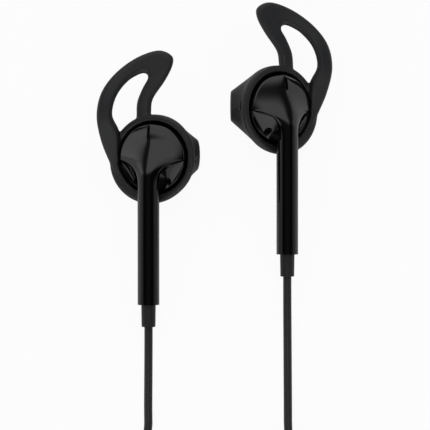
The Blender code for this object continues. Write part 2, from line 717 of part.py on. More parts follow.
def add_heads():
    """Both heads, the left one mirrored, let down onto the surface and centred on the origin."""
    pieces = head_pieces()
    frames = {}
    all_nodes = []
    for side in ("right", "left"):
        frame = bpy.data.objects.new(side + "_head_frame", None)
        PARTS.objects.link(frame)
        mirror = 1 if side == "right" else -1
        stand = Matrix.Rotation(PITCH[side], 4, "X") @ Matrix.Rotation(-mirror * YAW[side], 4, "Y")
        to_stem = Matrix.Translation((0, 0, -STEM_AXIS_Z))
        place_at = Matrix.Translation((-mirror * STEM_SPACING / 2, -mirror * HEAD_STAGGER / 2, 0))
        frame.matrix_world = place_at @ stand @ Matrix.Scale(mirror, 4, (1, 0, 0)) @ to_stem
        nodes = [place(side + "_" + name, solid, finish, frame) for name, (solid, finish) in pieces.items()]
        bpy.context.view_layer.update()
        frame.matrix_world = Matrix.Translation((0, 0, -corners(nodes)[0].z)) @ frame.matrix_world
        bpy.context.view_layer.update()
        frames[side] = frame
        all_nodes += nodes
    low, high = corners(all_nodes)
    middle = (low + high) / 2
    for frame in frames.values():
        frame.matrix_world = Matrix.Translation((-middle.x, -middle.y, 0)) @ frame.matrix_world
    bpy.context.view_layer.update()
    for solid, _ in pieces.values():
        bpy.data.objects.remove(solid)
    return frames


# ---- the cord


def evenly(points, spacing):
    """Points a steady distance apart along a line of closely spaced ones, with both its ends."""
    total = sum((b - a).length for a, b in zip(points, points[1:]))
    count = max(round(total / spacing), 1)
    made = [points[0]]
    walked = 0.0
    for a, b in zip(points, points[1:]):
        run = (b - a).length
        while len(made) < count and walked + run >= total * len(made) / count:
            made.append(a.lerp(b, (total * len(made) / count - walked) / run))
        walked += run
    return [*made, points[-1]]


def stretch(route, diameter):
    """A free stretch of the cord through the route's points, nowhere sunk into the surface it lies on."""
    points = [Vector((point.x, point.y, max(point.z, diameter / 2))) for point in curve_through(route, 12)]
    return tube(evenly(points, 2.5 * diameter), diameter, 2)


def coil_points(centre, way, radius, turns, diameter):
    """A coil from its outermost turn, which starts at centre + way * x heading to -y.

    The turns are those of a layer and the number of layers. It spirals in and out again at a steady rate, and
    climbs a layer in the half turn where it reverses.
    """
    turns_a_layer, layers = turns
    pitch = diameter + TURN_GAP
    total = turns_a_layer * layers
    count = round(total * POINTS_A_TURN)
    made = []
    for k in range(count + 1):
        turn = total * k / count
        inward = turns_a_layer * (1 - abs(turn / turns_a_layer % 2 - 1))
        reach = radius - pitch * inward
        climb = sum(smoothstep(2 * (turn - layer * turns_a_layer) + 0.5) for layer in range(1, layers))
        angle = -math.tau * turn
        made.append(centre + Vector((way * reach * math.cos(angle), reach * math.sin(angle), pitch * climb)))
    heading = Vector((0, -1, 0))
    return [made[0] - heading * diameter, *made, made[-1] + leaving_heading(way, turns) * diameter]


def leaving_heading(way, turns):
    """Which way the cord points where it leaves its coil."""
    angle = -math.tau * turns[0] * turns[1]
    return Vector((way * math.sin(angle), -math.cos(angle), 0))


def least_gap(points, diameter):
    """The least space between two passes of a coil."""
    apart = POINTS_A_TURN // 2
    return min((a - b).length for k, a in enumerate(points) for b in points[k + apart :]) - diameter


def along_y(solid, start, way=1):
    """Turns a piece made about z so that its z runs along way * y from the start point."""
    return moved(solid, Matrix.Translation(start) @ Matrix.Rotation(-way * math.pi / 2, 4, "X"))


def tie(low, high):
    """A flat strap round the box between two corners, its width along the side that the box leaves at 0."""
    middle = (low + high) / 2
    size = high - low
    around = Vector([extent + 2 * TIE_THICKNESS if extent else TIE_WIDTH for extent in size])
    through = Vector([extent if extent else 2 * TIE_WIDTH for extent in size])
    return cut(block(around, middle), block(through, middle))


def add_coil(name, finish, centre, way, radius, turns, diameter):
    points = coil_points(centre, way, radius, turns, diameter)
    print(f"{name}: least gap between turns {least_gap(points[1:-1], diameter) / MM:.2f} mm")
    place(name, tube(points, diameter, 1), finish)
    enter = points[0] + Vector((0, TOUCH, 0))
    leave = points[-1] + leaving_heading(way, turns) * TOUCH
    return enter, leave


def coil_level(diameter):
    """The height of a coil's lower turns, which lie on its tie."""
    return TIE_THICKNESS + TOUCH + diameter / 2


def add_branch(side, frame):
    """One ear's cable: down from its relief, round its coil, and in beside the other one to the splitter."""
    way = -1 if side == "right" else 1
    inner_end = STEM_END - RELIEF_LENGTH + RELIEF_BORE_DEPTH - TOUCH
    start = frame.matrix_world @ Vector((0, inner_end, STEM_AXIS_Z))
    down = (frame.matrix_world.to_3x3() @ Vector((0, -1, 0))).normalized()
    level = BRANCH_DIAMETER / 2
    x = start.x
    centre = Vector((way * BRANCH_COIL_X, BRANCH_COIL_Y, coil_level(BRANCH_DIAMETER)))
    size = (BRANCH_COIL_RADIUS, (BRANCH_TURNS_A_LAYER, BRANCH_LAYERS), BRANCH_DIAMETER)
    enter, leave = add_coil(side + "_branch_coil", CABLE, centre, way, *size)
    landing = start + down * ((start.z - level) / -down.z)
    route = (
        start,
        start + down * 2 * MM,
        landing + Vector((0, -2 * MM, 0)),
        Vector((x, landing.y - 8 * MM, level)),
        Vector((x, -54 * MM, level)),
        Vector((x, -58.5 * MM, level)),
        Vector((x * 0.88 + enter.x * 0.12, -61.5 * MM, level)),
        Vector(((x + enter.x) / 2, -66 * MM, level)),
        Vector((x * 0.12 + enter.x * 0.88, -70.0 * MM, level + 0.3 * MM)),
        enter + Vector((0, BRANCH_DIAMETER, 0)),
        enter,
    )
    place(side + "_branch_cable", stretch(route, BRANCH_DIAMETER), CABLE)
    pair_x = way * PAIR_HALF_PITCH
    route = (
        leave,
        leave + Vector((-way * BRANCH_DIAMETER, 0, 0)),
        leave + Vector((-way * 2 * BRANCH_DIAMETER, -0.1 * MM, -0.1 * MM)),
        Vector((way * 7.0 * MM, -88.3 * MM, level + 1.5 * MM)),
        Vector((way * 3.6 * MM, -91.3 * MM, level + 0.2 * MM)),
        Vector((way * 1.9 * MM, -95.0 * MM, level)),
        Vector((pair_x, PAIR_START_Y, PAIR_Z - 0.5 * MM)),
        Vector((pair_x, PAIR_START_Y - 4 * MM, PAIR_Z)),
        Vector((pair_x, SPLITTER_TOP_Y + 8 * MM, PAIR_Z)),
        Vector((pair_x, SPLITTER_TOP_Y + TOUCH, PAIR_Z)),
    )
    place(side + "_branch_tail", stretch(route, BRANCH_DIAMETER), CABLE)
    pitch = BRANCH_DIAMETER + TURN_GAP
    spare = BRANCH_DIAMETER / 2 + TOUCH
    half = 0.5
    outer = centre.x - way * (BRANCH_COIL_RADIUS - half * pitch + spare)
    inner = centre.x - way * (BRANCH_COIL_RADIUS - BRANCH_TURNS_A_LAYER * pitch - spare)
    ends = sorted((outer, inner))
    strap = tie(
        Vector((ends[0], centre.y, TIE_THICKNESS)), Vector((ends[1], centre.y, centre.z + pitch + spare))
    )
    place(side + "_coil_tie", strap, TIE)


def add_slider():
    width = 2 * (PAIR_HALF_PITCH + SLIDER_BORE + SLIDER_WALL)
    body = block(Vector((width, SLIDER_LENGTH, 2 * PAIR_Z)), (0, 0, 0), SLIDER_EDGE)
    bores = [
        along_y(
            disc(SLIDER_BORE, 0, 2 * SLIDER_LENGTH, sides=12), Vector((way * PAIR_HALF_PITCH, -SLIDER_LENGTH, 0))
        )
        for way in (1, -1)
    ]
    location = Vector((0, SPLITTER_TOP_Y + TOUCH + SLIDER_LENGTH / 2, PAIR_Z))
    place("cable_slider", cut(body, *bores), GLOSS_BLACK, location=location)


def add_splitter():
    width = 2 * (PAIR_HALF_PITCH + SLIDER_BORE + SLIDER_WALL)
    middle = Vector((0, SPLITTER_TOP_Y - SPLITTER_LENGTH / 2, PAIR_Z))
    place("splitter", block(Vector((width, SPLITTER_LENGTH, 2 * PAIR_Z)), middle, SPLITTER_EDGE), GLOSS_BLACK)
    start = Vector((0, SPLITTER_TOP_Y - SPLITTER_LENGTH - FIT, PAIR_Z))
    wide = PAIR_Z - FIT
    narrow = (MAIN_DIAMETER + SLIDER_WALL) / 2
    sleeve = turned(((0, 0), (wide, 0), (narrow, SPLITTER_RELIEF_LENGTH), (0, SPLITTER_RELIEF_LENGTH)))
    place("splitter_relief", along_y(sleeve, start, -1), SATIN_RUBBER)


def add_main_cord():
    """The joined cable from the splitter, its coil, and the plug beside it."""
    start = Vector((0, SPLITTER_TOP_Y - SPLITTER_LENGTH - FIT - SPLITTER_RELIEF_LENGTH - TOUCH, PAIR_Z))
    centre = Vector((MAIN_COIL_X, MAIN_COIL_Y, coil_level(MAIN_DIAMETER)))
    size = (MAIN_COIL_RADIUS, (MAIN_TURNS_A_LAYER, MAIN_LAYERS), MAIN_DIAMETER)
    enter, leave = add_coil("main_coil", CABLE, centre, 1, *size)
    route = (
        start,
        start + Vector((0, -MAIN_DIAMETER, 0)),
        Vector((enter.x * 0.1, start.y - 5 * MM, MAIN_DIAMETER / 2 + 0.3 * MM)),
        Vector((enter.x * 0.5, start.y - 9.5 * MM, MAIN_DIAMETER / 2 + 0.2 * MM)),
        Vector((enter.x * 0.9, start.y - 14 * MM, MAIN_DIAMETER / 2 + 0.4 * MM)),
        enter + Vector((0, MAIN_DIAMETER, 0)),
        enter,
    )
    place("main_cable", stretch(route, MAIN_DIAMETER), CABLE)
    plug_start = Vector((leave.x, leave.y + PLUG_GAP_Y, PLUG_Z))
    route = (
        leave,
        leave + Vector((0, MAIN_DIAMETER, 0)),
        leave + Vector((0, 1.8 * MAIN_DIAMETER, -0.1 * MM)),
        plug_start + Vector((0, -TOUCH - 1.8 * MAIN_DIAMETER, 0.1 * MM)),
        plug_start + Vector((0, -TOUCH - MAIN_DIAMETER, 0)),
        plug_start + Vector((0, -TOUCH, 0)),
    )
    place("main_tail", stretch(route, MAIN_DIAMETER), CABLE)
    pitch = MAIN_DIAMETER + TURN_GAP
    spare = MAIN_DIAMETER / 2 + TOUCH
    outer = centre.y - MAIN_COIL_RADIUS - spare
    inner = centre.y - (MAIN_COIL_RADIUS - MAIN_TURNS_A_LAYER * pitch) + spare
    top = centre.z + (MAIN_LAYERS - 1) * pitch + spare
    strap = tie(Vector((centre.x, outer, TIE_THICKNESS)), Vector((centre.x, inner, top)))
    place("main_coil_tie", strap, TIE)
    add_plug(plug_start)


def add_plug(start):
    """The 3.5 mm plug: strain relief, body, then the jack's sleeve, ring and tip between insulators."""
    thin, thick = PLUG_RELIEF_RADII
    sleeve = turned(((0, 0), (thin, 0), (thick, PLUG_RELIEF_LENGTH - FIT), (0, PLUG_RELIEF_LENGTH - FIT)))
    place("plug_relief", along_y(sleeve, start), SATIN_RUBBER)
    y = start.y + PLUG_RELIEF_LENGTH
    body = turned(
        (
            (0, 0),
            (PLUG_RADIUS - PLUG_EDGE, 0),
            (PLUG_RADIUS, PLUG_EDGE),
            (PLUG_RADIUS, PLUG_LENGTH - PLUG_EDGE),
            (PLUG_RADIUS - PLUG_EDGE, PLUG_LENGTH),
            (0, PLUG_LENGTH),
        )
    )
    place("plug_body", along_y(body, Vector((start.x, y, start.z))), GLOSS_BLACK)
    y += PLUG_LENGTH + FIT
    waist = JACK_RADIUS - 4 * FIT
    groove = JACK_RADIUS - FIT / 2
    tip = (
        (0, 0),
        (waist, 0),
        (waist - 2 * FIT, 0.2 * JACK_TIP_LENGTH),
        (JACK_RADIUS - FIT, 0.5 * JACK_TIP_LENGTH),
        (0.5 * JACK_RADIUS, JACK_TIP_LENGTH - FIT),
        (0, JACK_TIP_LENGTH),
    )
    stack = (
        ("jack_sleeve", disc(JACK_RADIUS, 0, JACK_SLEEVE_LENGTH), JACK_SLEEVE_LENGTH, GOLD),
        ("jack_sleeve_insulator", disc(groove, 0, JACK_INSULATOR), JACK_INSULATOR, SATIN_RUBBER),
        ("jack_ring", disc(JACK_RADIUS, 0, JACK_RING_LENGTH), JACK_RING_LENGTH, GOLD),
        ("jack_ring_insulator", disc(groove, 0, JACK_INSULATOR), JACK_INSULATOR, SATIN_RUBBER),
        ("jack_tip", turned(tip), JACK_TIP_LENGTH, GOLD),
    )
    for name, solid, length, finish in stack:
        place(name, along_y(solid, Vector((start.x, y, start.z))), finish)
        y += length + FIT / 2


clear_scene()
PARTS = collection("wired_earphones")
CUTTERS = collection("cutters", shown=False)
GLOSS_BLACK = material("gloss_black_abs", (0.006, 0.006, 0.007), 0.12)
SILICONE = material("matt_black_silicone", (0.014, 0.014, 0.016), 0.55)
SATIN_RUBBER = material("black_tpe_relief", (0.01, 0.01, 0.01), 0.5)
CABLE = material("black_tpe_cable", (0.012, 0.012, 0.012), 0.45)
STEEL = material("stainless_steel", (0.5, 0.5, 0.5), 0.3, 1.0)
MAGNET = material("nickel_plated_magnet", (0.6, 0.58, 0.55), 0.25, 1.0)
COPPER = material("enamelled_copper", (0.72, 0.3, 0.12), 0.3, 1.0)
FILM = material("clear_film", (0.35, 0.33, 0.3), 0.2)
FOAM = material("grey_foam", (0.06, 0.06, 0.06), 0.9)
CLOTH = material("black_acoustic_cloth", (0.01, 0.01, 0.01), 0.8)
BASKET_PLASTIC = material("grey_moulded_plastic", (0.1, 0.1, 0.1), 0.5)
BOARD_GREEN = material("green_laminate", (0.02, 0.15, 0.05), 0.4)
GOLD = material("gold_plated_brass", (0.83, 0.6, 0.28), 0.2, 1.0)
TIE = material("matt_black_tie", (0.02, 0.02, 0.02), 0.7)
for head_side, head_frame in add_heads().items():
    add_branch(head_side, head_frame)
add_slider()
add_splitter()
add_main_cord()
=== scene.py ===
"""Wired earphones with silicone ear-hook covers: the finish of every surface and the modelled mouldings.

Metres, +Z up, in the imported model's frame. Each head is modelled in its own frame: x points to the sound
nozzle's side, y up the stem, z out of the ear.
"""

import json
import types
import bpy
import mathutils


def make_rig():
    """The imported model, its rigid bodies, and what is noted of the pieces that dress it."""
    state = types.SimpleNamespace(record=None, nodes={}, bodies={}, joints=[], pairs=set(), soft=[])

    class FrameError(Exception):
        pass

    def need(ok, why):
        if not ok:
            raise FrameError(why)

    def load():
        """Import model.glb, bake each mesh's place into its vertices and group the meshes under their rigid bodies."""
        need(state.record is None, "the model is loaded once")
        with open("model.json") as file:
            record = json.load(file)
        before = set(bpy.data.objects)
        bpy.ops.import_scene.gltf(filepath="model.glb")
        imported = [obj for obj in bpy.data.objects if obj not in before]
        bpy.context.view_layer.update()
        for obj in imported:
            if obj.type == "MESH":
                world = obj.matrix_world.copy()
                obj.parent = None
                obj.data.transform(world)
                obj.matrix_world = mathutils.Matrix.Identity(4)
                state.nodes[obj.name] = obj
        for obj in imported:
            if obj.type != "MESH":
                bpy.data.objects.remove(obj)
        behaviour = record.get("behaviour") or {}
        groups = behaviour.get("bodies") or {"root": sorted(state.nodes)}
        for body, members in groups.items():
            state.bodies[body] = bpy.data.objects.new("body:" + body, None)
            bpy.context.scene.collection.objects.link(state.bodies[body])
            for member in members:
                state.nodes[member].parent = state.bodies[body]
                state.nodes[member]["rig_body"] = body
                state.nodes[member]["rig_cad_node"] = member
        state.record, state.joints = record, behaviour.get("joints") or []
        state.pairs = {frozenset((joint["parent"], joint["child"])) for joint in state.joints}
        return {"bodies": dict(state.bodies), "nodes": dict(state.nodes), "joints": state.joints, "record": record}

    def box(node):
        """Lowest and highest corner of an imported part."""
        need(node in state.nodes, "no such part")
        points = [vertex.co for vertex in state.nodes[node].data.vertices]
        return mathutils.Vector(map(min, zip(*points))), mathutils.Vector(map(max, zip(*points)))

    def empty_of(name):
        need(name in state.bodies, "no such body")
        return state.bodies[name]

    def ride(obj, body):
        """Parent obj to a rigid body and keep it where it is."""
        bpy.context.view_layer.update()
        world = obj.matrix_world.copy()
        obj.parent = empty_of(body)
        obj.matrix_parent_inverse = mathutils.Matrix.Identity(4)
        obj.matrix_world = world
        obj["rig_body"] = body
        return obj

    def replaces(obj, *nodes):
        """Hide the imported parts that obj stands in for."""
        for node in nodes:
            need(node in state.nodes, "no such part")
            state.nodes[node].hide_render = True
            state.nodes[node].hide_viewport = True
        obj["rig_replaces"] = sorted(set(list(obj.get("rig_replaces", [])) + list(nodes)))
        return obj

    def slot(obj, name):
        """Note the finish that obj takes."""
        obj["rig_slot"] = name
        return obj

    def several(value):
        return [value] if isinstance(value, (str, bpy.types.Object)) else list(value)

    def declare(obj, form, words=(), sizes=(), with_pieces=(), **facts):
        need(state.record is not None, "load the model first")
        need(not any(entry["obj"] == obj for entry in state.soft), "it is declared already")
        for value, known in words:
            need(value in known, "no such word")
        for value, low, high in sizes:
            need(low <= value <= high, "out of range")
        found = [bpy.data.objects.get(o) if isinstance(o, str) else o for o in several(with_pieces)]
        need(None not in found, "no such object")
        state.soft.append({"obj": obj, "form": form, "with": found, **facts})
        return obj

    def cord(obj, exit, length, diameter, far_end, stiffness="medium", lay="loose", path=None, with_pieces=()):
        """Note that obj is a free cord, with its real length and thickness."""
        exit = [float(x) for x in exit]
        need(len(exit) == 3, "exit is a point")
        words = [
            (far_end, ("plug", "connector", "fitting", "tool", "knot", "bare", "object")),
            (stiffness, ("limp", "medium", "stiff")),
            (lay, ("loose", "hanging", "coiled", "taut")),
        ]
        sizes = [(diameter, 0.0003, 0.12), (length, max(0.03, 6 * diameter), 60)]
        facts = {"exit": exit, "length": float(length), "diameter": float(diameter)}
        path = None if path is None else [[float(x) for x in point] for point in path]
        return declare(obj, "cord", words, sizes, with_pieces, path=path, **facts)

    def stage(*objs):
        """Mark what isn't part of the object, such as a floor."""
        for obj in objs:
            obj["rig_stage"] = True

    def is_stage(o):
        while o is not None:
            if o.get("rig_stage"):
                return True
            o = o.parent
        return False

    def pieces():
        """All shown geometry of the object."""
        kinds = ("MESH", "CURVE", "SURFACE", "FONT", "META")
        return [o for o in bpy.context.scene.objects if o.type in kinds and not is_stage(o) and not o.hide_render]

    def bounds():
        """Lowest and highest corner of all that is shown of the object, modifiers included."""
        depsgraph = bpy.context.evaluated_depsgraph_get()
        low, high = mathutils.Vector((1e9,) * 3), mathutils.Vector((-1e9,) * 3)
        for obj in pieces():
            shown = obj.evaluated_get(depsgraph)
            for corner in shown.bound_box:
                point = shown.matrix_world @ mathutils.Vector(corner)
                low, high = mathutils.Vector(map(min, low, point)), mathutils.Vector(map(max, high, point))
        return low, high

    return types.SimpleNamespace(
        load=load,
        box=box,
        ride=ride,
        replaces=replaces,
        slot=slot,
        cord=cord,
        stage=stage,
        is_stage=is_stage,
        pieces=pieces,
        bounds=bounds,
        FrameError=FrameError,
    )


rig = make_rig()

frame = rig.load()

import json
import math

import bmesh
import bpy
from mathutils import Matrix, Vector
from mathutils.bvhtree import BVHTree

MM = 0.001
SIDES = ("right", "left")

with open("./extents.json", "w") as sizes:
    json.dump({"cad": [list(corner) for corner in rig.bounds()]}, sizes)


# ---- sizes, as in the CAD unless a comment says otherwise

HEAD_RADIUS = 7.4 * MM
SEAM_TOP = -0.4 * MM
SEAM_FLARES = (0.9 * MM, 4.0 * MM)
SEAM_WAIST = 1.7 * MM
SEAM_NECK = 2.0 * MM
SEAM_RISE = 1.1 * MM
SEAM_DROP = 1.3 * MM
SEAM_GAP = 0.2 * MM  # a little wider than between the solids, so that it shows
SEAM_DEPTH = 0.6 * MM  # how far the lobes turn down beside the seam, here only
RIM_LEVEL = 0.5 * MM
RIM_SKIRT = 0.7 * MM
EDGE_ROUNDING = 0.3 * MM  # of the glossy shells, here only
STEM_RADIUS = 2.35 * MM
STEM_AXIS_Z = 2.75 * MM
STEM_END = -31.6 * MM
STEM_BLEND_START = -1.5 * MM
STEM_BLEND_END = -7.0 * MM
LOBE_FALL = (1.6, 4.0)
LOBE_REACH = 0.97
RIDGE_LEVEL_FROM = -4.0 * MM
CROWN_FROM = 4.5 * MM
CROWN_RISE = 1.9 * MM
RIDGE_ROUNDING = 0.5 * MM
BACK_WALL = 0.8 * MM
SLOT = Vector((0.6, 2.6)) * MM
SLOT_X = -0.2 * MM
SLOT_Y = 5.3 * MM
PORT_PLACE = Vector((3.75, -5.1)) * MM
PORT_HALF = Vector((0.55, 0.95)) * MM
RIM_INNER = 8.0 * MM
RIM_OUTER = 9.4 * MM
RIM_TOP = 0.1 * MM
RIM_BASE = -0.9 * MM
RIM_ROUNDING = 0.4 * MM
NOZZLE_END = Vector((7.6, 0.6, -8.2)) * MM
NOZZLE_BEND = Vector((0.0, 0.1, -4.6)) * MM
NOZZLE_TURN = math.radians(60)
NOZZLE_HALF = Vector((2.6, 3.2)) * MM
TURN_POWER = 1.6  # how late the bulb turns towards the nozzle
WIDTH_POWERS = (1.45, 2.2)  # how late it narrows across and along the stem
NOZZLE_AXIS = Vector((math.sin(NOZZLE_TURN), 0, -math.cos(NOZZLE_TURN)))
NOZZLE_ACROSS = Vector((math.cos(NOZZLE_TURN), 0, math.sin(NOZZLE_TURN)))
NOZZLE_LIP = 0.9 * MM
NOZZLE_OPENING = Vector((1.8, 2.3)) * MM
COVER_WALL_RIM = 1.4 * MM
COVER_WALL_NOZZLE = 1.0 * MM
COVER_SWELL = 1.0 * MM
COVER_SWELL_ANGLE = math.radians(222)
SWELL_POWER = 1.5
SWELL_SHARES = (0.7, 0.9)  # of the swell that the rim's two edges have
COVER_GAP = 0.15 * MM
WING_THICKNESS_ROOT = 2.5 * MM
WING_THICKNESS_TIP = 2.0 * MM
WING_RIBS_MM = (
    ((-8.3, -5.4, -1.2), (-6.6, -2.6, -1.2)),
    ((-9.9, -1.4, -0.4), (-7.6, 1.2, -0.6)),
    ((-11.5, 3.6, 1.0), (-7.5, 5.7, 0.4)),
    ((-12.1, 9.0, 2.2), (-8.7, 9.3, 1.5)),
    ((-11.2, 14.0, 1.8), (-7.9, 13.4, 0.9)),
    ((-8.6, 18.3, -0.1), (-5.9, 16.6, -0.9)),
    ((-4.6, 21.7, -2.5), (-3.5, 18.2, -2.5)),
    ((-0.2, 23.3, -4.3), (-2.4, 18.1, -3.0)),
    ((2.7, 22.2, -4.9), (-2.1, 17.5, -3.0)),
    ((3.0, 20.2, -4.8), (-2.3, 16.7, -2.9)),
    ((1.6, 16.8, -3.8), (-3.3, 14.7, -2.4)),
    ((-0.8, 12.8, -2.6), (-4.2, 12.0, -1.9)),
    ((-1.0, 9.8, -1.9), (-4.2, 9.2, -1.5)),
    ((-1.2, 7.4, -1.4), (-4.2, 6.6, -1.4)),
)
FRONT_WALL = 0.8 * MM
SHELL_BORE = 5.4 * MM
LEDGE_Z = -3.3 * MM
BORE_TOP = -0.35 * MM
FIT = 0.1 * MM
MAGNET_LEVEL = -1.375 * MM  # of the magnet's middle in the head's frame
RELIEF_LENGTH = 4.8 * MM
RELIEF_BORE_DEPTH = 1.0 * MM
RELIEF_BORE = 1.05 * MM
RELIEF_TOP_RADIUS = 1.57 * MM
RELIEF_END_RADIUS = 1.5 * MM
TOUCH = 0.3 * MM
BRANCH_DIAMETER = 1.8 * MM
MAIN_DIAMETER = 2.2 * MM
TURN_GAP = 0.5 * MM
TIE_THICKNESS = 0.5 * MM
BRANCH_COIL_RADIUS = 10.5 * MM
BRANCH_COIL_X = 14.0 * MM
BRANCH_COIL_Y = -76.0 * MM
BRANCH_TURNS_A_LAYER = 2.625
BRANCH_LAYERS = 2
MAIN_COIL_RADIUS = 14.0 * MM
MAIN_COIL_X = -8.5 * MM
MAIN_COIL_Y = -156.0 * MM
MAIN_TURNS_A_LAYER = 3.125
MAIN_LAYERS = 4
PAIR_HALF_PITCH = 1.3 * MM
PAIR_START_Y = -99.0 * MM
PAIR_Z = 1.6 * MM
SPLITTER_TOP_Y = -118.0 * MM
PLUG_Z = 3.1 * MM

# The ear marks, which only this script makes.
MARK_PLACE = Vector((9.6, 0.4, -2.9)) * MM
MARK_SIZE = 5.0 * MM
MARK_RELIEF = 0.2 * MM  # proud of the cover, and as much again sunk in it
MARK_SEARCH = 5.0 * MM  # from how far out the cover's flank is looked for
MARK_HOVER = 3.0 * MM  # how far above the cover the letter hangs before it is laid on
MARK_CUTS = 3

# How finely this script draws the mouldings and the coils.
ACROSS = 96
ROUND = 64
POINTS_A_TURN = 48
NECK_STEPS = 48
LOBE_STEPS = 60
BULB_STEPS = 40
LIP_STEPS = 24
WING_STEPS = 8
ROUTE_STEPS = 12
WELD = MM / 1000  # corners nearer than this become one
SKIN_VOXEL = 0.2 * MM
SKIN_SOFTENING_ROUNDS = 10
SKIN_SOFTENING_SHARE = 0.5
COVER_INSIDE_STEPS = slice(4, 34)  # the sections of the bulb that its inside has as well
# Above 1, these crowd the sections and their points towards the seam.
NECK_CROWDING = 1.3
LOBE_CROWDING = 1.2
FLANK_CROWDING = 1.5


def smoothstep(value):
    value = min(max(value, 0.0), 1.0)
    return value * value * (3 - 2 * value)


# ---- the head's forms, as in the CAD but drawn finely


def seam_half_width(y, grow):
    radius = HEAD_RADIUS + grow
    if y >= SEAM_TOP:
        return math.sqrt(max(radius**2 - y**2, 0))
    first, second = (math.exp((y - SEAM_TOP) / flare) for flare in SEAM_FLARES)
    return SEAM_WAIST + grow + (HEAD_RADIUS - SEAM_WAIST - SEAM_NECK) * first + SEAM_NECK * second


def seam_level(y):
    if y >= SEAM_TOP:
        return RIM_LEVEL
    top = STEM_AXIS_Z + STEM_RADIUS - SEAM_DROP
    return RIM_LEVEL + (top - RIM_LEVEL) * (1 - math.exp((y - SEAM_TOP) / SEAM_RISE))


def ridge_level(y):
    stem = STEM_AXIS_Z + STEM_RADIUS
    share = min(max(y / (HEAD_RADIUS + 2 * FIT), 0), 1)
    crown = RIM_LEVEL + CROWN_RISE * math.sqrt(1 - share**6)
    return crown + (stem - crown) * smoothstep((CROWN_FROM - y) / (CROWN_FROM - RIDGE_LEVEL_FROM))


def edge_drop(x, y, half, grow):
    """How far the shell's rounded edge lies below its sharp one."""
    if y >= SEAM_TOP:
        inward = HEAD_RADIUS + grow - math.hypot(x, y)
    else:
        inward = half - abs(x)
    share = 1 - min(max(inward / EDGE_ROUNDING, 0), 1)
    return EDGE_ROUNDING * (1 - math.sqrt(1 - share**2))


def roof_level(x, y, grow):
    half = seam_half_width(y, grow)
    ridge = ridge_level(y) + grow
    edge = seam_level(y)
    rounding = RIDGE_ROUNDING + STEM_RADIUS * smoothstep((SLOT_Y - y) / (SLOT_Y - STEM_BLEND_END))
    slope = (ridge - edge) / max(math.hypot(half, rounding) - rounding, FIT / 10)
    return ridge - slope * (math.hypot(x, rounding) - rounding) - edge_drop(x, y, half, grow)


def back_section(y, grow, floor):
    """A ring of points round the back shell: a ridged roof that turns into the stem's circle."""
    blend = smoothstep((STEM_BLEND_START - y) / (STEM_BLEND_START - STEM_BLEND_END))
    half = seam_half_width(y, grow)
    radius = STEM_RADIUS + grow
    ring = []
    for k in range(ACROSS):
        angle = math.tau * k / ACROSS
        x = half * math.cos(angle)
        if k <= ACROSS // 2:
            z = roof_level(x, y, grow)
        else:
            z = seam_level(y) - RIM_SKIRT - grow if floor is None else floor
        round_x = radius * math.cos(angle)
        round_z = STEM_AXIS_Z + radius * math.sin(angle)
        ring.append(Vector((x + (round_x - x) * blend, y, z + (round_z - z) * blend)))
    return ring


def back_form(grow, end, floor=None):
    top = HEAD_RADIUS + grow
    crown = [top * math.cos(math.radians(angle)) for angle in (2, *range(4, 93, 2))]
    crown = [y for y in crown if y > SEAM_TOP]
    shares = [(k / NECK_STEPS) ** NECK_CROWDING for k in range(NECK_STEPS + 1)]
    neck = [SEAM_TOP + (STEM_BLEND_END - SEAM_TOP) * share for share in shares]
    return skin([back_section(y, grow, floor) for y in (*crown, *neck, end)])


def oval(centre, across, half_x, half_y, swell=0.0):
    ring = []
    for k in range(ACROSS):
        angle = math.tau * k / ACROSS
        fuller = swell * max(math.cos(angle - COVER_SWELL_ANGLE), 0) ** SWELL_POWER
        x = (half_x + fuller) * math.cos(angle)
        y = (half_y + fuller) * math.sin(angle)
        ring.append(centre + across * x + Vector((0, y, 0)))
    return ring


def bulb_section(along, inset, swell=0.0):
    """A ring of the head's ear side, from the rim, at 0, to the nozzle's flat end, at 1."""
    rim_centre = Vector((0, 0, RIM_BASE))
    centre = rim_centre.lerp(NOZZLE_BEND, along).lerp(NOZZLE_BEND.lerp(NOZZLE_END, along), along)
    turn = NOZZLE_TURN * along**TURN_POWER
    across = Vector((math.cos(turn), 0, math.sin(turn)))
    half_x = NOZZLE_HALF.x + (RIM_OUTER - NOZZLE_HALF.x) * (1 - along**WIDTH_POWERS[0]) - inset
    half_y = NOZZLE_HALF.y + (RIM_OUTER - NOZZLE_HALF.y) * (1 - along**WIDTH_POWERS[1]) - inset
    return oval(centre, across, half_x, half_y, swell * (1 - along))


def rim_section(radius, level, swell=0.0):
    return oval(Vector((0, 0, level)), Vector((1, 0, 0)), radius, radius, swell)


def nozzle_section(half, back):
    return oval(NOZZLE_END - NOZZLE_AXIS * back, NOZZLE_ACROSS, half.x, half.y)


def curve_through(points, steps):
    """Points along a Catmull-Rom curve through the given ones, with this many steps between neighbours."""
    points = [Vector(point) for point in points]
    padded = [2 * points[0] - points[1], *points, 2 * points[-1] - points[-2]]
    made = []
    for k in range(len(points) - 1):
        a, b, c, d = padded[k : k + 4]
        square = 2 * a - 5 * b + 4 * c - d
        cubic = 3 * b - a - 3 * c + d
        for step in range(steps):
            t = step / steps
            made.append(0.5 * (2 * b + (c - a) * t + square * t**2 + cubic * t**3))
    return [*made, points[-1]]


# ---- making meshes


def piece(name, made, finish):
    """A new object from a bmesh, at the origin and untransformed."""
    data = bpy.data.meshes.new(name)
    made.to_mesh(data)
    made.free()
    obj = bpy.data.objects.new(name, data)
    bpy.context.scene.collection.objects.link(obj)
    if finish:
        data.materials.append(finish)
    data.shade_smooth()
    return obj


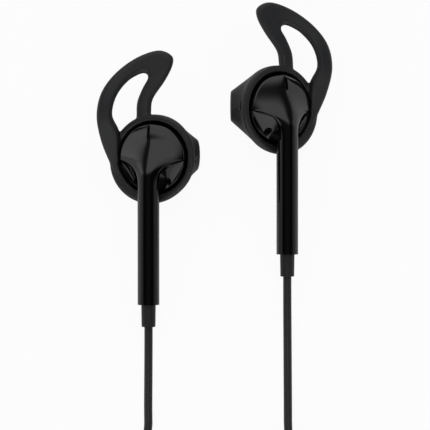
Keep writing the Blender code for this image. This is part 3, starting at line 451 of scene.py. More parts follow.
def skin(rings):
    """A closed skin bridged over rings of points, with a flat cap on both ends."""
    made = bmesh.new()
    loops = []
    for ring in rings:
        corners = [made.verts.new(point) for point in ring]
        loops.append([made.edges.new((corners[k - 1], corners[k])) for k in range(len(corners))])
    for low, high in zip(loops, loops[1:]):
        bmesh.ops.bridge_loops(made, edges=low + high)
    for loop in (loops[0], loops[-1]):
        bmesh.ops.edgeloop_fill(made, edges=loop)
    bmesh.ops.recalc_face_normals(made, faces=made.faces)
    return made


def turned(profile, sides=ROUND):
    """A solid turned about z from a profile of (radius, z) round its section."""
    made = bmesh.new()
    points = [made.verts.new((radius, 0, height)) for radius, height in profile]
    edges = [made.edges.new((points[k - 1], points[k])) for k in range(len(points))]
    bmesh.ops.spin(
        made, geom=points + edges, axis=(0, 0, 1), cent=(0, 0, 0), steps=sides, angle=math.tau, use_merge=True
    )
    bmesh.ops.remove_doubles(made, verts=made.verts, dist=WELD)
    bmesh.ops.recalc_face_normals(made, faces=made.faces)
    return made


def disc(radius, low, high):
    return turned(((0, low), (radius, low), (radius, high), (0, high)))


def block(size, centre, rounding=0.0):
    made = bmesh.new()
    bmesh.ops.create_cube(made, size=1)
    bmesh.ops.scale(made, vec=size, verts=made.verts)
    if rounding:
        bmesh.ops.bevel(
            made, geom=made.edges, offset=rounding, segments=6, profile=0.5, affect="EDGES", material=-1
        )
    bmesh.ops.translate(made, vec=centre, verts=made.verts)
    return made


def moved(made, matrix):
    bmesh.ops.transform(made, matrix=matrix, verts=made.verts)
    return made


def settled_copy(obj):
    """A mesh of an object as its modifiers leave it."""
    bpy.context.view_layer.update()
    graph = bpy.context.evaluated_depsgraph_get()
    return bpy.data.meshes.new_from_object(obj.evaluated_get(graph))


def settled(obj):
    """Bakes an object's modifiers into its mesh."""
    baked = settled_copy(obj)
    obj.modifiers.clear()
    obj.data = baked
    return obj


def combined(obj, forms, operation):
    """Joins other forms to an object, or cuts them from it."""
    for form in forms:
        other = piece("form", form, None)
        modifier = obj.modifiers.new("Combine", "BOOLEAN")
        modifier.operation = operation
        modifier.object = other
        settled(obj)
        bpy.data.objects.remove(other)
    return obj


def sharpened(obj, degrees=35):
    obj.data.shade_smooth()
    obj.data.set_sharp_from_angle(angle=math.radians(degrees))
    return obj


def in_head(side):
    """The matrix from a head's own frame to the model's, from the driver's axis and its magnet's middle."""
    axes = {joint["name"]: Vector(joint["axis"]) for joint in frame["joints"]}
    axis = axes[side + "_driver_travel"]
    up = Vector((0, axis.z, -axis.y)).normalized()
    across = up.cross(axis) * (1 if side == "right" else -1)
    low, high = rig.box(side + "_driver_magnet")
    origin = (Vector(low) + Vector(high)) / 2 - axis * MAGNET_LEVEL
    matrix = Matrix((across, up, axis)).transposed().to_4x4()
    matrix.translation = origin
    return matrix


HEADS = {side: in_head(side) for side in SIDES}


def laid(obj, side, replaced=()):
    """Puts an object made in the head's frame where that head lies, and lets it ride on the earphones."""
    obj.data.transform(HEADS[side])
    if side == "left":
        obj.data.flip_normals()
    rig.ride(obj, "earphones")
    if replaced:
        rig.replaces(obj, *(side + "_" + node for node in replaced))
    return obj


# ---- finishes


def srgb(code):
    """Linear colour from a hex code such as "1a1b1c"."""
    values = [int(code[k : k + 2], 16) / 255 for k in (0, 2, 4)]
    return (*(v / 12.92 if v <= 0.04045 else ((v + 0.055) / 1.055) ** 2.4 for v in values), 1)


def finish(name, colour, roughness, **settings):
    made = bpy.data.materials.new(name)
    made.use_nodes = True
    shader = made.node_tree.nodes["Principled BSDF"]
    shader.inputs["Base Color"].default_value = srgb(colour)
    shader.inputs["Roughness"].default_value = roughness
    for socket, value in settings.items():
        shader.inputs[socket.replace("_", " ")].default_value = value
    return made


def add_node(material, kind, links=(), **settings):
    """Adds a node to a material or a world.

    Links are pairs of an input's name or number and an output, and settings are attributes or inputs.
    """
    node = material.node_tree.nodes.new(kind)
    for name, value in settings.items():
        if hasattr(node, name):
            setattr(node, name, value)
        else:
            node.inputs[name.replace("_", " ")].default_value = value
    for name, source in links:
        material.node_tree.links.new(source, node.inputs[name])
    return node


def wire(material, socket, source):
    """Links a source into the shader."""
    material.node_tree.links.new(source, material.node_tree.nodes["Principled BSDF"].inputs[socket])


def relief_noise(material, size, height, detail=2.0):
    """Fine uneven relief of this grain size and height, in metres."""
    place = add_node(material, "ShaderNodeTexCoord")
    vector = [("Vector", place.outputs["Object"])]
    noise = add_node(material, "ShaderNodeTexNoise", vector, Scale=1 / size, Detail=detail)
    grain = [("Height", noise.outputs["Fac"])]
    bump = add_node(material, "ShaderNodeBump", grain, Strength=1.0, Distance=height)
    wire(material, "Normal", bump.outputs["Normal"])
    return noise


def spread(material, noise, low, high):
    """Roughness that wanders between two values with the noise."""
    grain = [("Value", noise.outputs["Fac"])]
    ramp = add_node(material, "ShaderNodeMapRange", grain, To_Min=low, To_Max=high)
    wire(material, "Roughness", ramp.outputs["Result"])


# Injection-moulded ABS from a mirror-polished tool: deep black, with a trace of long moulding waves.
GLOSS_BLACK = finish("gloss_black_abs", "060607", 0.08, IOR=1.5)
spread(GLOSS_BLACK, relief_noise(GLOSS_BLACK, 3 * MM, 0.0015 * MM, 1.0), 0.05, 0.11)
# Liquid silicone moulded in a blasted tool: soft, matt and faintly blue-black.
SILICONE = finish("matt_black_silicone", "121316", 0.5)
spread(SILICONE, relief_noise(SILICONE, 0.12 * MM, 0.004 * MM), 0.46, 0.58)
# The same silicone where the tool was polished, for the ear marks: sleeker, and darker by painted shade that stands in
# for the shading of the letters' relief.
SHADED_MARK_SILICONE = finish("polished_silicone_painted_shade", "050506", 0.35)
spread(SHADED_MARK_SILICONE, relief_noise(SHADED_MARK_SILICONE, 0.2 * MM, 0.002 * MM), 0.3, 0.42)
# Elastomer moulded over the cable, satin with a fine grain.
SATIN_RUBBER = finish("black_tpe_relief", "070708", 0.5)
spread(SATIN_RUBBER, relief_noise(SATIN_RUBBER, 0.2 * MM, 0.003 * MM), 0.45, 0.6)
# Extruded elastomer jacket, dark grey, with fine streaks from the die.
CABLE = finish("dark_tpe_cable", "151517", 0.45)
spread(CABLE, relief_noise(CABLE, 0.25 * MM, 0.003 * MM), 0.4, 0.54)
# Cold-drawn steel, zinc plated.
STEEL = finish("zinc_plated_steel", "b9b9ba", 0.3, Metallic=1.0)
spread(STEEL, relief_noise(STEEL, 0.3 * MM, 0.002 * MM), 0.24, 0.38)
# Punched steel, blackened.
GRILLE = finish("blackened_steel", "2c2c2e", 0.35, Metallic=1.0)
spread(GRILLE, relief_noise(GRILLE, 0.2 * MM, 0.002 * MM), 0.3, 0.45)
# Sintered magnet with nickel plating.
MAGNET = finish("nickel_plated_magnet", "a8a49c", 0.22, Metallic=1.0)
spread(MAGNET, relief_noise(MAGNET, 0.4 * MM, 0.002 * MM), 0.18, 0.3)
# Enamelled copper wire, wound.
COPPER = finish("enamelled_copper", "b8683c", 0.28, Metallic=1.0)
spread(COPPER, relief_noise(COPPER, 0.08 * MM, 0.006 * MM), 0.22, 0.36)
# Pressed polyester film.
FILM = finish("pressed_film", "8f8a80", 0.2, Alpha=0.9)
spread(FILM, relief_noise(FILM, 0.5 * MM, 0.002 * MM), 0.16, 0.28)
# Die-cut foam and damping paper.
FOAM = finish("grey_foam", "3c3c3c", 0.9)
relief_noise(FOAM, 0.15 * MM, 0.03 * MM)
# Woven acoustic cloth.
CLOTH = finish("black_acoustic_cloth", "101010", 0.85)
relief_noise(CLOTH, 0.08 * MM, 0.02 * MM)
# Moulded frame of the driver.
BASKET = finish("grey_moulded_plastic", "3a3a3a", 0.5)
spread(BASKET, relief_noise(BASKET, 0.3 * MM, 0.003 * MM), 0.44, 0.58)
# Solder-masked glass-epoxy board.
BOARD = finish("green_laminate", "1b5a2c", 0.35)
spread(BOARD, relief_noise(BOARD, 0.2 * MM, 0.004 * MM), 0.3, 0.42)
# Gold plating over brass, polished.
GOLD = finish("gold_plated_brass", "e0b45a", 0.16, Metallic=1.0)
spread(GOLD, relief_noise(GOLD, 0.5 * MM, 0.001 * MM), 0.12, 0.22)
# Silicone strap, matt.
TIE = finish("matt_black_tie", "141415", 0.6)
spread(TIE, relief_noise(TIE, 0.2 * MM, 0.004 * MM), 0.55, 0.68)

HEAD_FINISHES = {
    "nozzle_grille": GRILLE,
    "vent_mesh": CLOTH,
    "driver_gasket": FOAM,
    "driver_basket": BASKET,
    "driver_damper": FOAM,
    "driver_yoke": STEEL,
    "driver_magnet": MAGNET,
    "driver_top_plate": STEEL,
    "voice_coil": COPPER,
    "diaphragm": FILM,
    "terminal_board": BOARD,
    "lead_pair": CABLE,
    "cable_crimp": STEEL,
    "coil_tie": TIE,
}
CORD_FINISHES = {
    "cable_slider": GLOSS_BLACK,
    "splitter": GLOSS_BLACK,
    "splitter_relief": SATIN_RUBBER,
    "main_coil_tie": TIE,
    "plug_relief": SATIN_RUBBER,
    "plug_body": GLOSS_BLACK,
    "jack_sleeve": GOLD,
    "jack_sleeve_insulator": SATIN_RUBBER,
    "jack_ring": GOLD,
    "jack_ring_insulator": SATIN_RUBBER,
    "jack_tip": GOLD,
}


def finish_nodes():
    for side in SIDES:
        for name, chosen in HEAD_FINISHES.items():
            paint(frame["nodes"][side + "_" + name], chosen)
    for name, chosen in CORD_FINISHES.items():
        paint(frame["nodes"][name], chosen)


def paint(node, chosen):
    node.data.materials.clear()
    node.data.materials.append(chosen)


# ---- the heads


def back_shell():
    shell = piece("back_shell", back_form(0, STEM_END), GLOSS_BLACK)
    slot = block(Vector((SLOT.x, SLOT.y, 6 * BACK_WALL)), (SLOT_X, SLOT_Y, ridge_level(SLOT_Y)))
    hollow = back_form(-BACK_WALL, STEM_BLEND_END, floor=BORE_TOP - FIT)
    return sharpened(combined(shell, [hollow, slot], "DIFFERENCE"))


def lobes():
    """The front shell's rear side below the seam: two shallow lobes that sweep up the flanks of the neck."""
    rings = []
    radius = HEAD_RADIUS - FIT
    low = -LOBE_REACH * radius
    for k in range(LOBE_STEPS + 1):
        y = SEAM_TOP + (low - SEAM_TOP) * (k / LOBE_STEPS) ** LOBE_CROWDING
        rim = math.sqrt(radius**2 - y**2)
        seam = min(seam_half_width(y, 0) + SEAM_GAP, rim - COVER_GAP)
        fall = LOBE_FALL[0] + (LOBE_FALL[1] - LOBE_FALL[0]) * smoothstep((SEAM_TOP - y) / (SEAM_TOP - low))
        top = seam_level(y) - SEAM_GAP
        ring = []
        for way in (1, -1):
            side = []
            for j in range(ROUND // 2 + 1):
                share = (j / (ROUND // 2)) ** FLANK_CROWDING
                x = seam + (rim - seam) * share
                side.append(Vector((way * x, y, top * (1 - share) ** fall - edge_drop(x, y, rim, -FIT))))
            side.insert(0, Vector((way * seam, y, min(top, RIM_LEVEL) - SEAM_DEPTH)))
            ring += side[:: -way]
        ring += [Vector((-rim, y, BORE_TOP - FRONT_WALL)), Vector((rim, y, BORE_TOP - FRONT_WALL))]
        rings.append(ring)
    return skin(rings)


def shell_inset(along):
    rim = RIM_OUTER - HEAD_RADIUS
    return rim + (COVER_WALL_NOZZLE + COVER_GAP - rim) * along


def front_shell():
    lip = 1 - (NOZZLE_LIP + 2 * COVER_GAP) / NOZZLE_END.length
    alongs = [lip * k / LIP_STEPS for k in range(LIP_STEPS + 1)]
    rings = [rim_section(HEAD_RADIUS, RIM_LEVEL - RIM_SKIRT)]
    rings += [bulb_section(along, shell_inset(along)) for along in alongs]
    shell = piece("front_shell", skin(rings), GLOSS_BLACK)
    combined(shell, [lobes()], "UNION")
    bore = turned(((0, LEDGE_Z), (SHELL_BORE, LEDGE_Z), (SHELL_BORE, BORE_TOP), (0, BORE_TOP)))
    ports = [
        moved(
            disc(1, BORE_TOP - 3 * FIT, STEM_AXIS_Z),
            Matrix.Translation((way * PORT_PLACE.x, PORT_PLACE.y, 0)) @ Matrix.Diagonal((*PORT_HALF, 1, 1)),
        )
        for way in (1, -1)
    ]
    hollow = back_form(-BACK_WALL, STEM_BLEND_END, floor=BORE_TOP - FIT)
    return sharpened(combined(shell, [hollow, bore, *ports], "DIFFERENCE"))


def wing():
    """The looped ear hook: a flat band with round edges that leaves the rim, turns and comes back."""
    outer = curve_through([Vector(rib[0]) * MM for rib in WING_RIBS_MM], WING_STEPS)
    inner = curve_through([Vector(rib[1]) * MM for rib in WING_RIBS_MM], WING_STEPS)
    middle = [(a + b) / 2 for a, b in zip(outer, inner)]
    rings = []
    for k in range(len(middle)):
        across = (inner[k] - outer[k]).normalized()
        along = middle[min(k + 1, len(middle) - 1)] - middle[max(k - 1, 0)]
        face = across.cross(along).normalized()
        reach = math.sin(math.pi * k / (len(middle) - 1))
        half = (WING_THICKNESS_ROOT + (WING_THICKNESS_TIP - WING_THICKNESS_ROOT) * reach) / 2
        ring = []
        for edge, way in ((outer[k], 1), (inner[k], -1)):
            for degrees in range(90, -91, -15):
                angle = math.radians(degrees)
                inward = half * (1 - math.cos(angle))
                ring.append(edge + across * way * inward + face * way * half * math.sin(angle))
        rings.append(ring)
    return skin(rings)


def ear_hook_cover():
    alongs = [k / BULB_STEPS for k in range(BULB_STEPS + 1)]
    rings = [
        rim_section(RIM_OUTER - RIM_ROUNDING, RIM_TOP, SWELL_SHARES[0] * COVER_SWELL),
        rim_section(RIM_OUTER, RIM_TOP - RIM_ROUNDING, SWELL_SHARES[1] * COVER_SWELL),
        *(bulb_section(along, 0, COVER_SWELL) for along in alongs),
    ]
    cover = piece("ear_hook_cover", skin(rings), SILICONE)
    combined(cover, [wing()], "UNION")
    lip = 1 - NOZZLE_LIP / NOZZLE_END.length
    inside = [rim_section(RIM_INNER, level) for level in (RIM_TOP + TOUCH, RIM_BASE)]
    wall = COVER_WALL_RIM - COVER_WALL_NOZZLE
    for along in alongs[COVER_INSIDE_STEPS]:
        inside.append(bulb_section(along, COVER_WALL_RIM - wall * along))
    inside.append(bulb_section(lip, COVER_WALL_NOZZLE))
    opening = skin([nozzle_section(NOZZLE_OPENING, back) for back in (2 * NOZZLE_LIP, -NOZZLE_LIP)])
    combined(cover, [skin(inside), opening], "DIFFERENCE")
    remesh = cover.modifiers.new("Skin", "REMESH")
    remesh.mode = "VOXEL"
    remesh.voxel_size = SKIN_VOXEL
    smooth = cover.modifiers.new("Soften", "SMOOTH")
    smooth.factor = SKIN_SOFTENING_SHARE
    smooth.iterations = SKIN_SOFTENING_ROUNDS
    settled(cover)
    cover.data.shade_smooth()
    return cover


def strain_relief():
    """A plain tapered sleeve with softened ends, sunk in the stem and bored for the cable."""
    low = -RELIEF_LENGTH
    edge = FIT
    profile = (
        (0, 0.5 * MM),
        (0, low + RELIEF_BORE_DEPTH),
        (RELIEF_BORE, low + RELIEF_BORE_DEPTH),
        (RELIEF_BORE, low),
        (RELIEF_END_RADIUS - edge, low),
        (RELIEF_END_RADIUS, low + edge),
        (RELIEF_TOP_RADIUS, -FIT),
        (RELIEF_TOP_RADIUS, 0.5 * MM),
    )
    place = Matrix.Translation((0, STEM_END, STEM_AXIS_Z)) @ Matrix.Rotation(-math.pi / 2, 4, "X")
    return sharpened(piece("strain_relief", moved(turned(profile), place), SATIN_RUBBER))


def flat_letter(letter):
    """A letter of the mark's size and depth, lying flat round the origin, with faces small enough to bend."""
    data = bpy.data.curves.new("mark", "FONT")
    data.body = letter
    data.size = MARK_SIZE
    data.extrude = MARK_RELIEF
    data.align_x = "CENTER"
    data.align_y = "CENTER"
    text = bpy.data.objects.new("mark", data)
    bpy.context.scene.collection.objects.link(text)
    mesh = settled_copy(text)
    bpy.data.objects.remove(text)
    made = bmesh.new()
    made.from_mesh(mesh)
    bmesh.ops.remove_doubles(made, verts=made.verts, dist=WELD)
    bmesh.ops.triangulate(made, faces=made.faces)
    bmesh.ops.subdivide_edges(made, edges=made.edges, cuts=MARK_CUTS, use_grid_fill=True)
    return made


def add_ear_mark(side, cover):
    """The moulded letter that tells the ears apart, turned on its side on the cover's nozzle flank."""
    tree = BVHTree.FromPolygons(
        [vertex.co for vertex in cover.data.vertices], [face.vertices for face in cover.data.polygons]
    )
    turn = HEADS[side].to_3x3()
    outside = HEADS[side] @ (MARK_PLACE + Vector((MARK_SEARCH, 0, 0)))
    spot, outward, _, _ = tree.ray_cast(outside, turn @ Vector((-1, 0, 0)))
    if outward.dot(outside - spot) < 0:
        outward = -outward
    top = turn @ Vector((0, 0, -1))
    top = (top - outward * top.dot(outward)).normalized()
    place = Matrix((top.cross(outward), top, outward)).transposed().to_4x4()
    place.translation = spot
    made = flat_letter(side[0].upper())
    for vertex in made.verts:
        above = place @ Vector((vertex.co.x, vertex.co.y, MARK_HOVER))
        hit, _, _, _ = tree.ray_cast(above, -outward)
        vertex.co = hit + outward * vertex.co.z if hit else place @ vertex.co
    bmesh.ops.recalc_face_normals(made, faces=made.faces)
    # The letter's darker colour is painted shade of its relief, not a different silicone.
    mark = piece(side + "_ear_mark", made, SHADED_MARK_SILICONE)
    mark.data.shade_flat()
    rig.ride(mark, "earphones")
    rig.slot(mark, "silicone_cover")


def add_heads():
    """Each form is made once in the head's frame and laid in both heads."""
    forms = {
        "back_shell": (back_shell(), "gloss_shell"),
        "front_shell": (front_shell(), "gloss_shell"),
        "ear_hook_cover": (ear_hook_cover(), "silicone_cover"),
        "strain_relief": (strain_relief(), "satin_rubber"),
    }
    for name, (form, slot) in forms.items():
        for side in SIDES:
            obj = form.copy()
            obj.data = form.data.copy()
            obj.name = side + "_" + name + "_fine"
            bpy.context.scene.collection.objects.link(obj)
            laid(obj, side, [name])
            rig.slot(obj, slot)
            if name == "ear_hook_cover":
                add_ear_mark(side, obj)
        bpy.data.objects.remove(form)


# ---- the cord


def evenly(points, spacing):
    """Points a steady distance apart along a line of closely spaced ones, with both its ends."""
    total = sum((b - a).length for a, b in zip(points, points[1:]))
    count = max(round(total / spacing), 1)
    made = [points[0]]
    walked = 0.0
    for a, b in zip(points, points[1:]):
        run = (b - a).length
        while len(made) < count and walked + run >= total * len(made) / count:
            made.append(a.lerp(b, (total * len(made) / count - walked) / run))
        walked += run
    return [*made, points[-1]]


def stretch(route, diameter):
    """A free stretch through the route's points, nowhere sunk into the surface it lies on."""
    fine = curve_through(route, ROUTE_STEPS)
    points = [Vector((point.x, point.y, max(point.z, diameter / 2))) for point in fine]
    return evenly(points, 2 * diameter)


def coil_points(centre, way, radius, turns, diameter):
    """A coil of several layers: it spirals in and out again, and climbs a layer where it reverses."""
    turns_a_layer, layers = turns
    pitch = diameter + TURN_GAP
    total = turns_a_layer * layers
    count = round(total * POINTS_A_TURN)
    made = []
    for k in range(count + 1):
        turn = total * k / count
        inward = turns_a_layer * (1 - abs(turn / turns_a_layer % 2 - 1))
        reach = radius - pitch * inward
        climb = sum(smoothstep(2 * (turn - layer * turns_a_layer) + 0.5) for layer in range(1, layers))
        angle = -math.tau * turn
        made.append(centre + Vector((way * reach * math.cos(angle), reach * math.sin(angle), pitch * climb)))
    angle = -math.tau * total
    leaving = Vector((way * math.sin(angle), -math.cos(angle), 0))
    return [made[0] + Vector((0, diameter, 0)), *made, made[-1] + leaving * diameter]


def coil_level(diameter):
    return TIE_THICKNESS + TOUCH + diameter / 2


def cable(name, points, diameter):
    """A round cable along the points, as one open spline."""
    data = bpy.data.curves.new(name, "CURVE")
    data.dimensions = "3D"
    data.bevel_depth = diameter / 2
    data.bevel_resolution = 6
    data.use_fill_caps = True
    spline = data.splines.new("POLY")
    spline.points.add(len(points) - 1)
    for target, point in zip(spline.points, points):
        target.co = (*point, 1)
    spline.use_smooth = True
    data.materials.append(CABLE)
    obj = bpy.data.objects.new(name, data)
    bpy.context.scene.collection.objects.link(obj)
    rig.ride(obj, "earphones")
    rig.slot(obj, "cable_jacket")
    return obj


def length_of(points):
    return sum((b - a).length for a, b in zip(points, points[1:]))


def add_branch(side):
    """One ear's cable: down from its relief, round its coil, and in beside the other one to the splitter."""
    head = HEADS[side]
    way = -1 if side == "right" else 1
    start = head @ Vector((0, STEM_END - RELIEF_LENGTH + RELIEF_BORE_DEPTH - TOUCH, STEM_AXIS_Z))
    down = (head.to_3x3() @ Vector((0, -1, 0))).normalized()
    level = BRANCH_DIAMETER / 2
    x = start.x
    centre = Vector((way * BRANCH_COIL_X, BRANCH_COIL_Y, coil_level(BRANCH_DIAMETER)))
    turns = (BRANCH_TURNS_A_LAYER, BRANCH_LAYERS)
    coil = coil_points(centre, way, BRANCH_COIL_RADIUS, turns, BRANCH_DIAMETER)
    enter, leave = coil[0], coil[-1]
    landing = start + down * ((start.z - level) / -down.z)
    first = (
        start,
        start + down * 2 * MM,
        landing + Vector((0, -2 * MM, 0)),
        Vector((x, landing.y - 8 * MM, level)),
        Vector((x, -54 * MM, level)),
        Vector((x, -58.5 * MM, level)),
        Vector((x * 0.88 + enter.x * 0.12, -61.5 * MM, level)),
        Vector(((x + enter.x) / 2, -66 * MM, level)),
        Vector((x * 0.12 + enter.x * 0.88, -70.0 * MM, level + 0.3 * MM)),
        enter + Vector((0, BRANCH_DIAMETER, 0)),
        enter,
    )
    pair_x = way * PAIR_HALF_PITCH
    last = (
        leave,
        leave + Vector((-way * BRANCH_DIAMETER, 0, 0)),
        leave + Vector((-way * 2 * BRANCH_DIAMETER, -0.1 * MM, -0.1 * MM)),
        Vector((way * 7.0 * MM, -88.3 * MM, level + 1.5 * MM)),
        Vector((way * 3.6 * MM, -91.3 * MM, level + 0.2 * MM)),
        Vector((way * 1.9 * MM, -95.0 * MM, level)),
        Vector((pair_x, PAIR_START_Y, PAIR_Z - 0.5 * MM)),
        Vector((pair_x, PAIR_START_Y - 4 * MM, PAIR_Z)),
        Vector((pair_x, SPLITTER_TOP_Y + 8 * MM, PAIR_Z)),
        Vector((pair_x, SPLITTER_TOP_Y + TOUCH, PAIR_Z)),
    )
    points = [*stretch(first, BRANCH_DIAMETER), *coil[1:-1], *stretch(last, BRANCH_DIAMETER)]
    obj = cable(side + "_branch", points, BRANCH_DIAMETER)
    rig.replaces(obj, side + "_branch_cable", side + "_branch_coil", side + "_branch_tail")
    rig.cord(
        obj,
        exit=start,
        length=length_of(points),
        diameter=BRANCH_DIAMETER,
        far_end="fitting",
        stiffness="medium",
        lay="coiled",
        with_pieces=[frame["nodes"]["splitter"]],
    )


def add_main_cable():
    start = Vector(((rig.box("splitter_relief")[0][0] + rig.box("splitter_relief")[1][0]) / 2, 0, PAIR_Z))
    start.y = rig.box("splitter_relief")[0][1] - TOUCH
    centre = Vector((MAIN_COIL_X, MAIN_COIL_Y, coil_level(MAIN_DIAMETER)))
    turns = (MAIN_TURNS_A_LAYER, MAIN_LAYERS)
    coil = coil_points(centre, 1, MAIN_COIL_RADIUS, turns, MAIN_DIAMETER)
    enter, leave = coil[0], coil[-1]
    first = (
        start,
        start + Vector((0, -MAIN_DIAMETER, 0)),
        Vector((enter.x * 0.1, start.y - 5 * MM, MAIN_DIAMETER / 2 + 0.3 * MM)),
        Vector((enter.x * 0.5, start.y - 9.5 * MM, MAIN_DIAMETER / 2 + 0.2 * MM)),
        Vector((enter.x * 0.9, start.y - 14 * MM, MAIN_DIAMETER / 2 + 0.4 * MM)),
        enter + Vector((0, MAIN_DIAMETER, 0)),
        enter,
    )
    plug_start = Vector((leave.x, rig.box("plug_relief")[0][1], PLUG_Z))
    last = (
        leave,
        leave + Vector((0, MAIN_DIAMETER, 0)),
        leave + Vector((0, 1.8 * MAIN_DIAMETER, -0.1 * MM)),
        plug_start + Vector((0, -TOUCH - 1.8 * MAIN_DIAMETER, 0.1 * MM)),
        plug_start + Vector((0, -TOUCH - MAIN_DIAMETER, 0)),
        plug_start + Vector((0, -TOUCH, 0)),
    )
    points = [*stretch(first, MAIN_DIAMETER), *coil[1:-1], *stretch(last, MAIN_DIAMETER)]
    obj = cable("main", points, MAIN_DIAMETER)
    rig.replaces(obj, "main_cable", "main_coil", "main_tail")
    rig.cord(
        obj,
        exit=start,
        length=length_of(points),
        diameter=MAIN_DIAMETER,
        far_end="plug",
        stiffness="medium",
        lay="coiled",
        with_pieces=[frame["nodes"]["plug_body"]],
    )


# ---- the view


CAMERA_TILT = math.radians(13)  # from straight down
CAMERA_DISTANCE = 0.6
VIEW_WIDTH = 0.093
VIEW_CENTRE = Vector((0.00003, -0.01122, 0.006))
FLOOR_DROP = 0.3 * MM  # keeps the paper clear of the flat undersides that rest on it
FLOOR_HALF = 0.8
PAPER_GLOW = 0.93
LAMP_PLACE = Vector((0.45, 0.25, 0.6))
LAMP_SIZE = 0.5
LEFT_LAMP_STRENGTH = 1.2
RIGHT_LAMP_STRENGTH = 1.0
# Where the surroundings fade, by a direction's X, aside, or by its Y, towards the back.
CLOTH_EDGE = (0.25, 0.5)
CLOTH_FRONT = (-0.2, 0.12)
WALL_EDGE = (0.72, 0.95)
WALL_FRONT = (-0.5, 0.1)
RIGHT_EDGE = (0.2, 0.9)
FRONT_EDGE = (-0.65, -0.38)
# How bright each of them is.
WALL_LEVEL = 1.0
WALL_FRONT_SHARE = 0.6
WALL_RIGHT_SHARE = 0.7
FRONT_LEVEL = 1.1
GAP_LEVEL = 0.08
CEILING_LEVEL = 0.05
STUDIO_LEVEL = 1.15


def add_camera():
    data = bpy.data.cameras.new("camera")
    data.sensor_width = 36
    data.lens = data.sensor_width * CAMERA_DISTANCE / VIEW_WIDTH
    data.clip_start = 0.01
    obj = bpy.data.objects.new("camera", data)
    bpy.context.scene.collection.objects.link(obj)
    back = Vector((0, -math.sin(CAMERA_TILT), math.cos(CAMERA_TILT)))
    obj.location = VIEW_CENTRE + back * CAMERA_DISTANCE
    obj.rotation_euler = (CAMERA_TILT, 0, 0)
    bpy.context.scene.camera = obj


def add_lamp(name, place, strength):
    """A square soft box that faces the origin; strength is the radiance of its face."""
    data = bpy.data.lights.new(name, "AREA")
    data.shape = "RECTANGLE"
    data.size = LAMP_SIZE
    data.size_y = LAMP_SIZE
    data.energy = strength * LAMP_SIZE**2 * math.pi
    obj = bpy.data.objects.new(name, data)
    bpy.context.scene.collection.objects.link(obj)
    obj.location = place
    obj.rotation_euler = (-place).to_track_quat("-Z", "Y").to_euler()
    obj.visible_camera = False
    obj.visible_glossy = False
    return obj


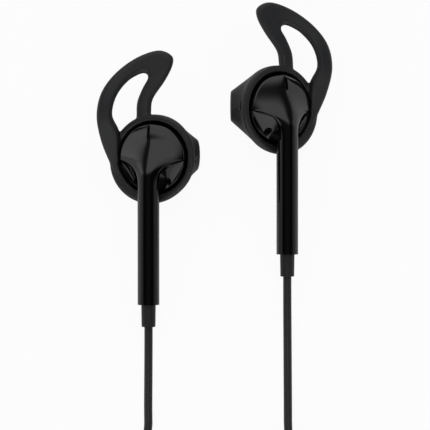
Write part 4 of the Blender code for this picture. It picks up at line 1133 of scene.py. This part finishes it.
def add_soft_walls(world):
    """Pale cloth overhead to the back, pale walls aside and a pale front; the camera sees plain white."""
    heading = add_node(world, "ShaderNodeTexCoord").outputs["Generated"]
    split = add_node(world, "ShaderNodeSeparateXYZ", [("Vector", heading)])
    across = split.outputs["X"]
    along = split.outputs["Y"]
    aside = add_node(world, "ShaderNodeMath", [(0, across)], operation="ABSOLUTE").outputs[0]
    fades = {
        "cloth": (aside, CLOTH_EDGE, (1.0, GAP_LEVEL)),
        "wall": (aside, WALL_EDGE, (0.0, WALL_LEVEL)),
        "behind": (along, CLOTH_FRONT, (CEILING_LEVEL, 1.0)),
        "beside": (along, WALL_FRONT, (0.0, WALL_FRONT_SHARE)),
        "before": (along, FRONT_EDGE, (FRONT_LEVEL, 0.0)),
        "studio": (across, RIGHT_EDGE, (STUDIO_LEVEL, STUDIO_LEVEL * WALL_RIGHT_SHARE)),
    }
    levels = {}
    for name, (source, (begin, end), (low, high)) in fades.items():
        fade = add_node(world, "ShaderNodeMapRange", [("Value", source)], interpolation_type="SMOOTHSTEP")
        for socket, value in (("From Min", begin), ("From Max", end), ("To Min", low), ("To Max", high)):
            fade.inputs[socket].default_value = value
        levels[name] = fade.outputs[0]
    joins = (
        ("pale", "ADD", "cloth", "wall"),
        ("upper", "MULTIPLY", "pale", "behind"),
        ("lower", "MULTIPLY", "wall", "beside"),
        ("walls", "MAXIMUM", "upper", "lower"),
        ("around", "MAXIMUM", "walls", "before"),
        ("lit", "MULTIPLY", "around", "studio"),
    )
    for name, operation, first, second in joins:
        pair = [(0, levels[first]), (1, levels[second])]
        levels[name] = add_node(world, "ShaderNodeMath", pair, operation=operation).outputs[0]
    seen = add_node(world, "ShaderNodeLightPath").outputs["Is Camera Ray"]
    level = add_node(world, "ShaderNodeMix", [(0, seen), (2, levels["lit"])], B=1.0)
    background = world.node_tree.nodes["Background"]
    background.inputs["Color"].default_value = srgb("ffffff")
    world.node_tree.links.new(level.outputs[0], background.inputs["Strength"])


def white_paper():
    """Uncoated white paper: an even matt white, lifted for the camera alone, and clear from its underside."""
    paper = finish("white_paper", "f4f4f4", 0.7)
    shader = paper.node_tree.nodes["Principled BSDF"].outputs["BSDF"]
    glow = add_node(paper, "ShaderNodeEmission", Strength=1.0).outputs["Emission"]
    seen = add_node(paper, "ShaderNodeLightPath").outputs["Is Camera Ray"]
    share = add_node(paper, "ShaderNodeMapRange", [("Value", seen)], To_Min=0.0, To_Max=PAPER_GLOW)
    lifted = add_node(paper, "ShaderNodeMixShader", [("Fac", share.outputs[0]), (1, shader), (2, glow)])
    clear = add_node(paper, "ShaderNodeBsdfTransparent").outputs["BSDF"]
    below = add_node(paper, "ShaderNodeNewGeometry").outputs["Backfacing"]
    one_way = add_node(paper, "ShaderNodeMixShader", [("Fac", below), (1, lifted.outputs[0]), (2, clear)])
    surface = paper.node_tree.nodes["Material Output"].inputs["Surface"]
    paper.node_tree.links.new(one_way.outputs[0], surface)
    return paper


def add_surroundings():
    world = bpy.data.worlds.new("studio")
    world.use_nodes = True
    bpy.context.scene.world = world
    add_soft_walls(world)
    made = bmesh.new()
    bmesh.ops.create_grid(made, x_segments=1, y_segments=1, size=FLOOR_HALF)
    bmesh.ops.translate(made, vec=(0, 0, -FLOOR_DROP), verts=made.verts)
    floor = piece("floor", made, white_paper())
    lamps = [
        add_lamp("left_box", Vector((-LAMP_PLACE.x, LAMP_PLACE.y, LAMP_PLACE.z)), LEFT_LAMP_STRENGTH),
        add_lamp("right_box", LAMP_PLACE, RIGHT_LAMP_STRENGTH),
    ]
    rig.stage(floor, *lamps)


scene = bpy.context.scene
scene.view_settings.view_transform = "Standard"
add_camera()
finish_nodes()
for branch_side in SIDES:
    add_branch(branch_side)
add_main_cable()
add_heads()
add_surroundings()
with open("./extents.json", "r+") as sizes:
    measured = json.load(sizes)
    measured["looks"] = [list(corner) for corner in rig.bounds()]
    sizes.seek(0)
    json.dump(measured, sizes)
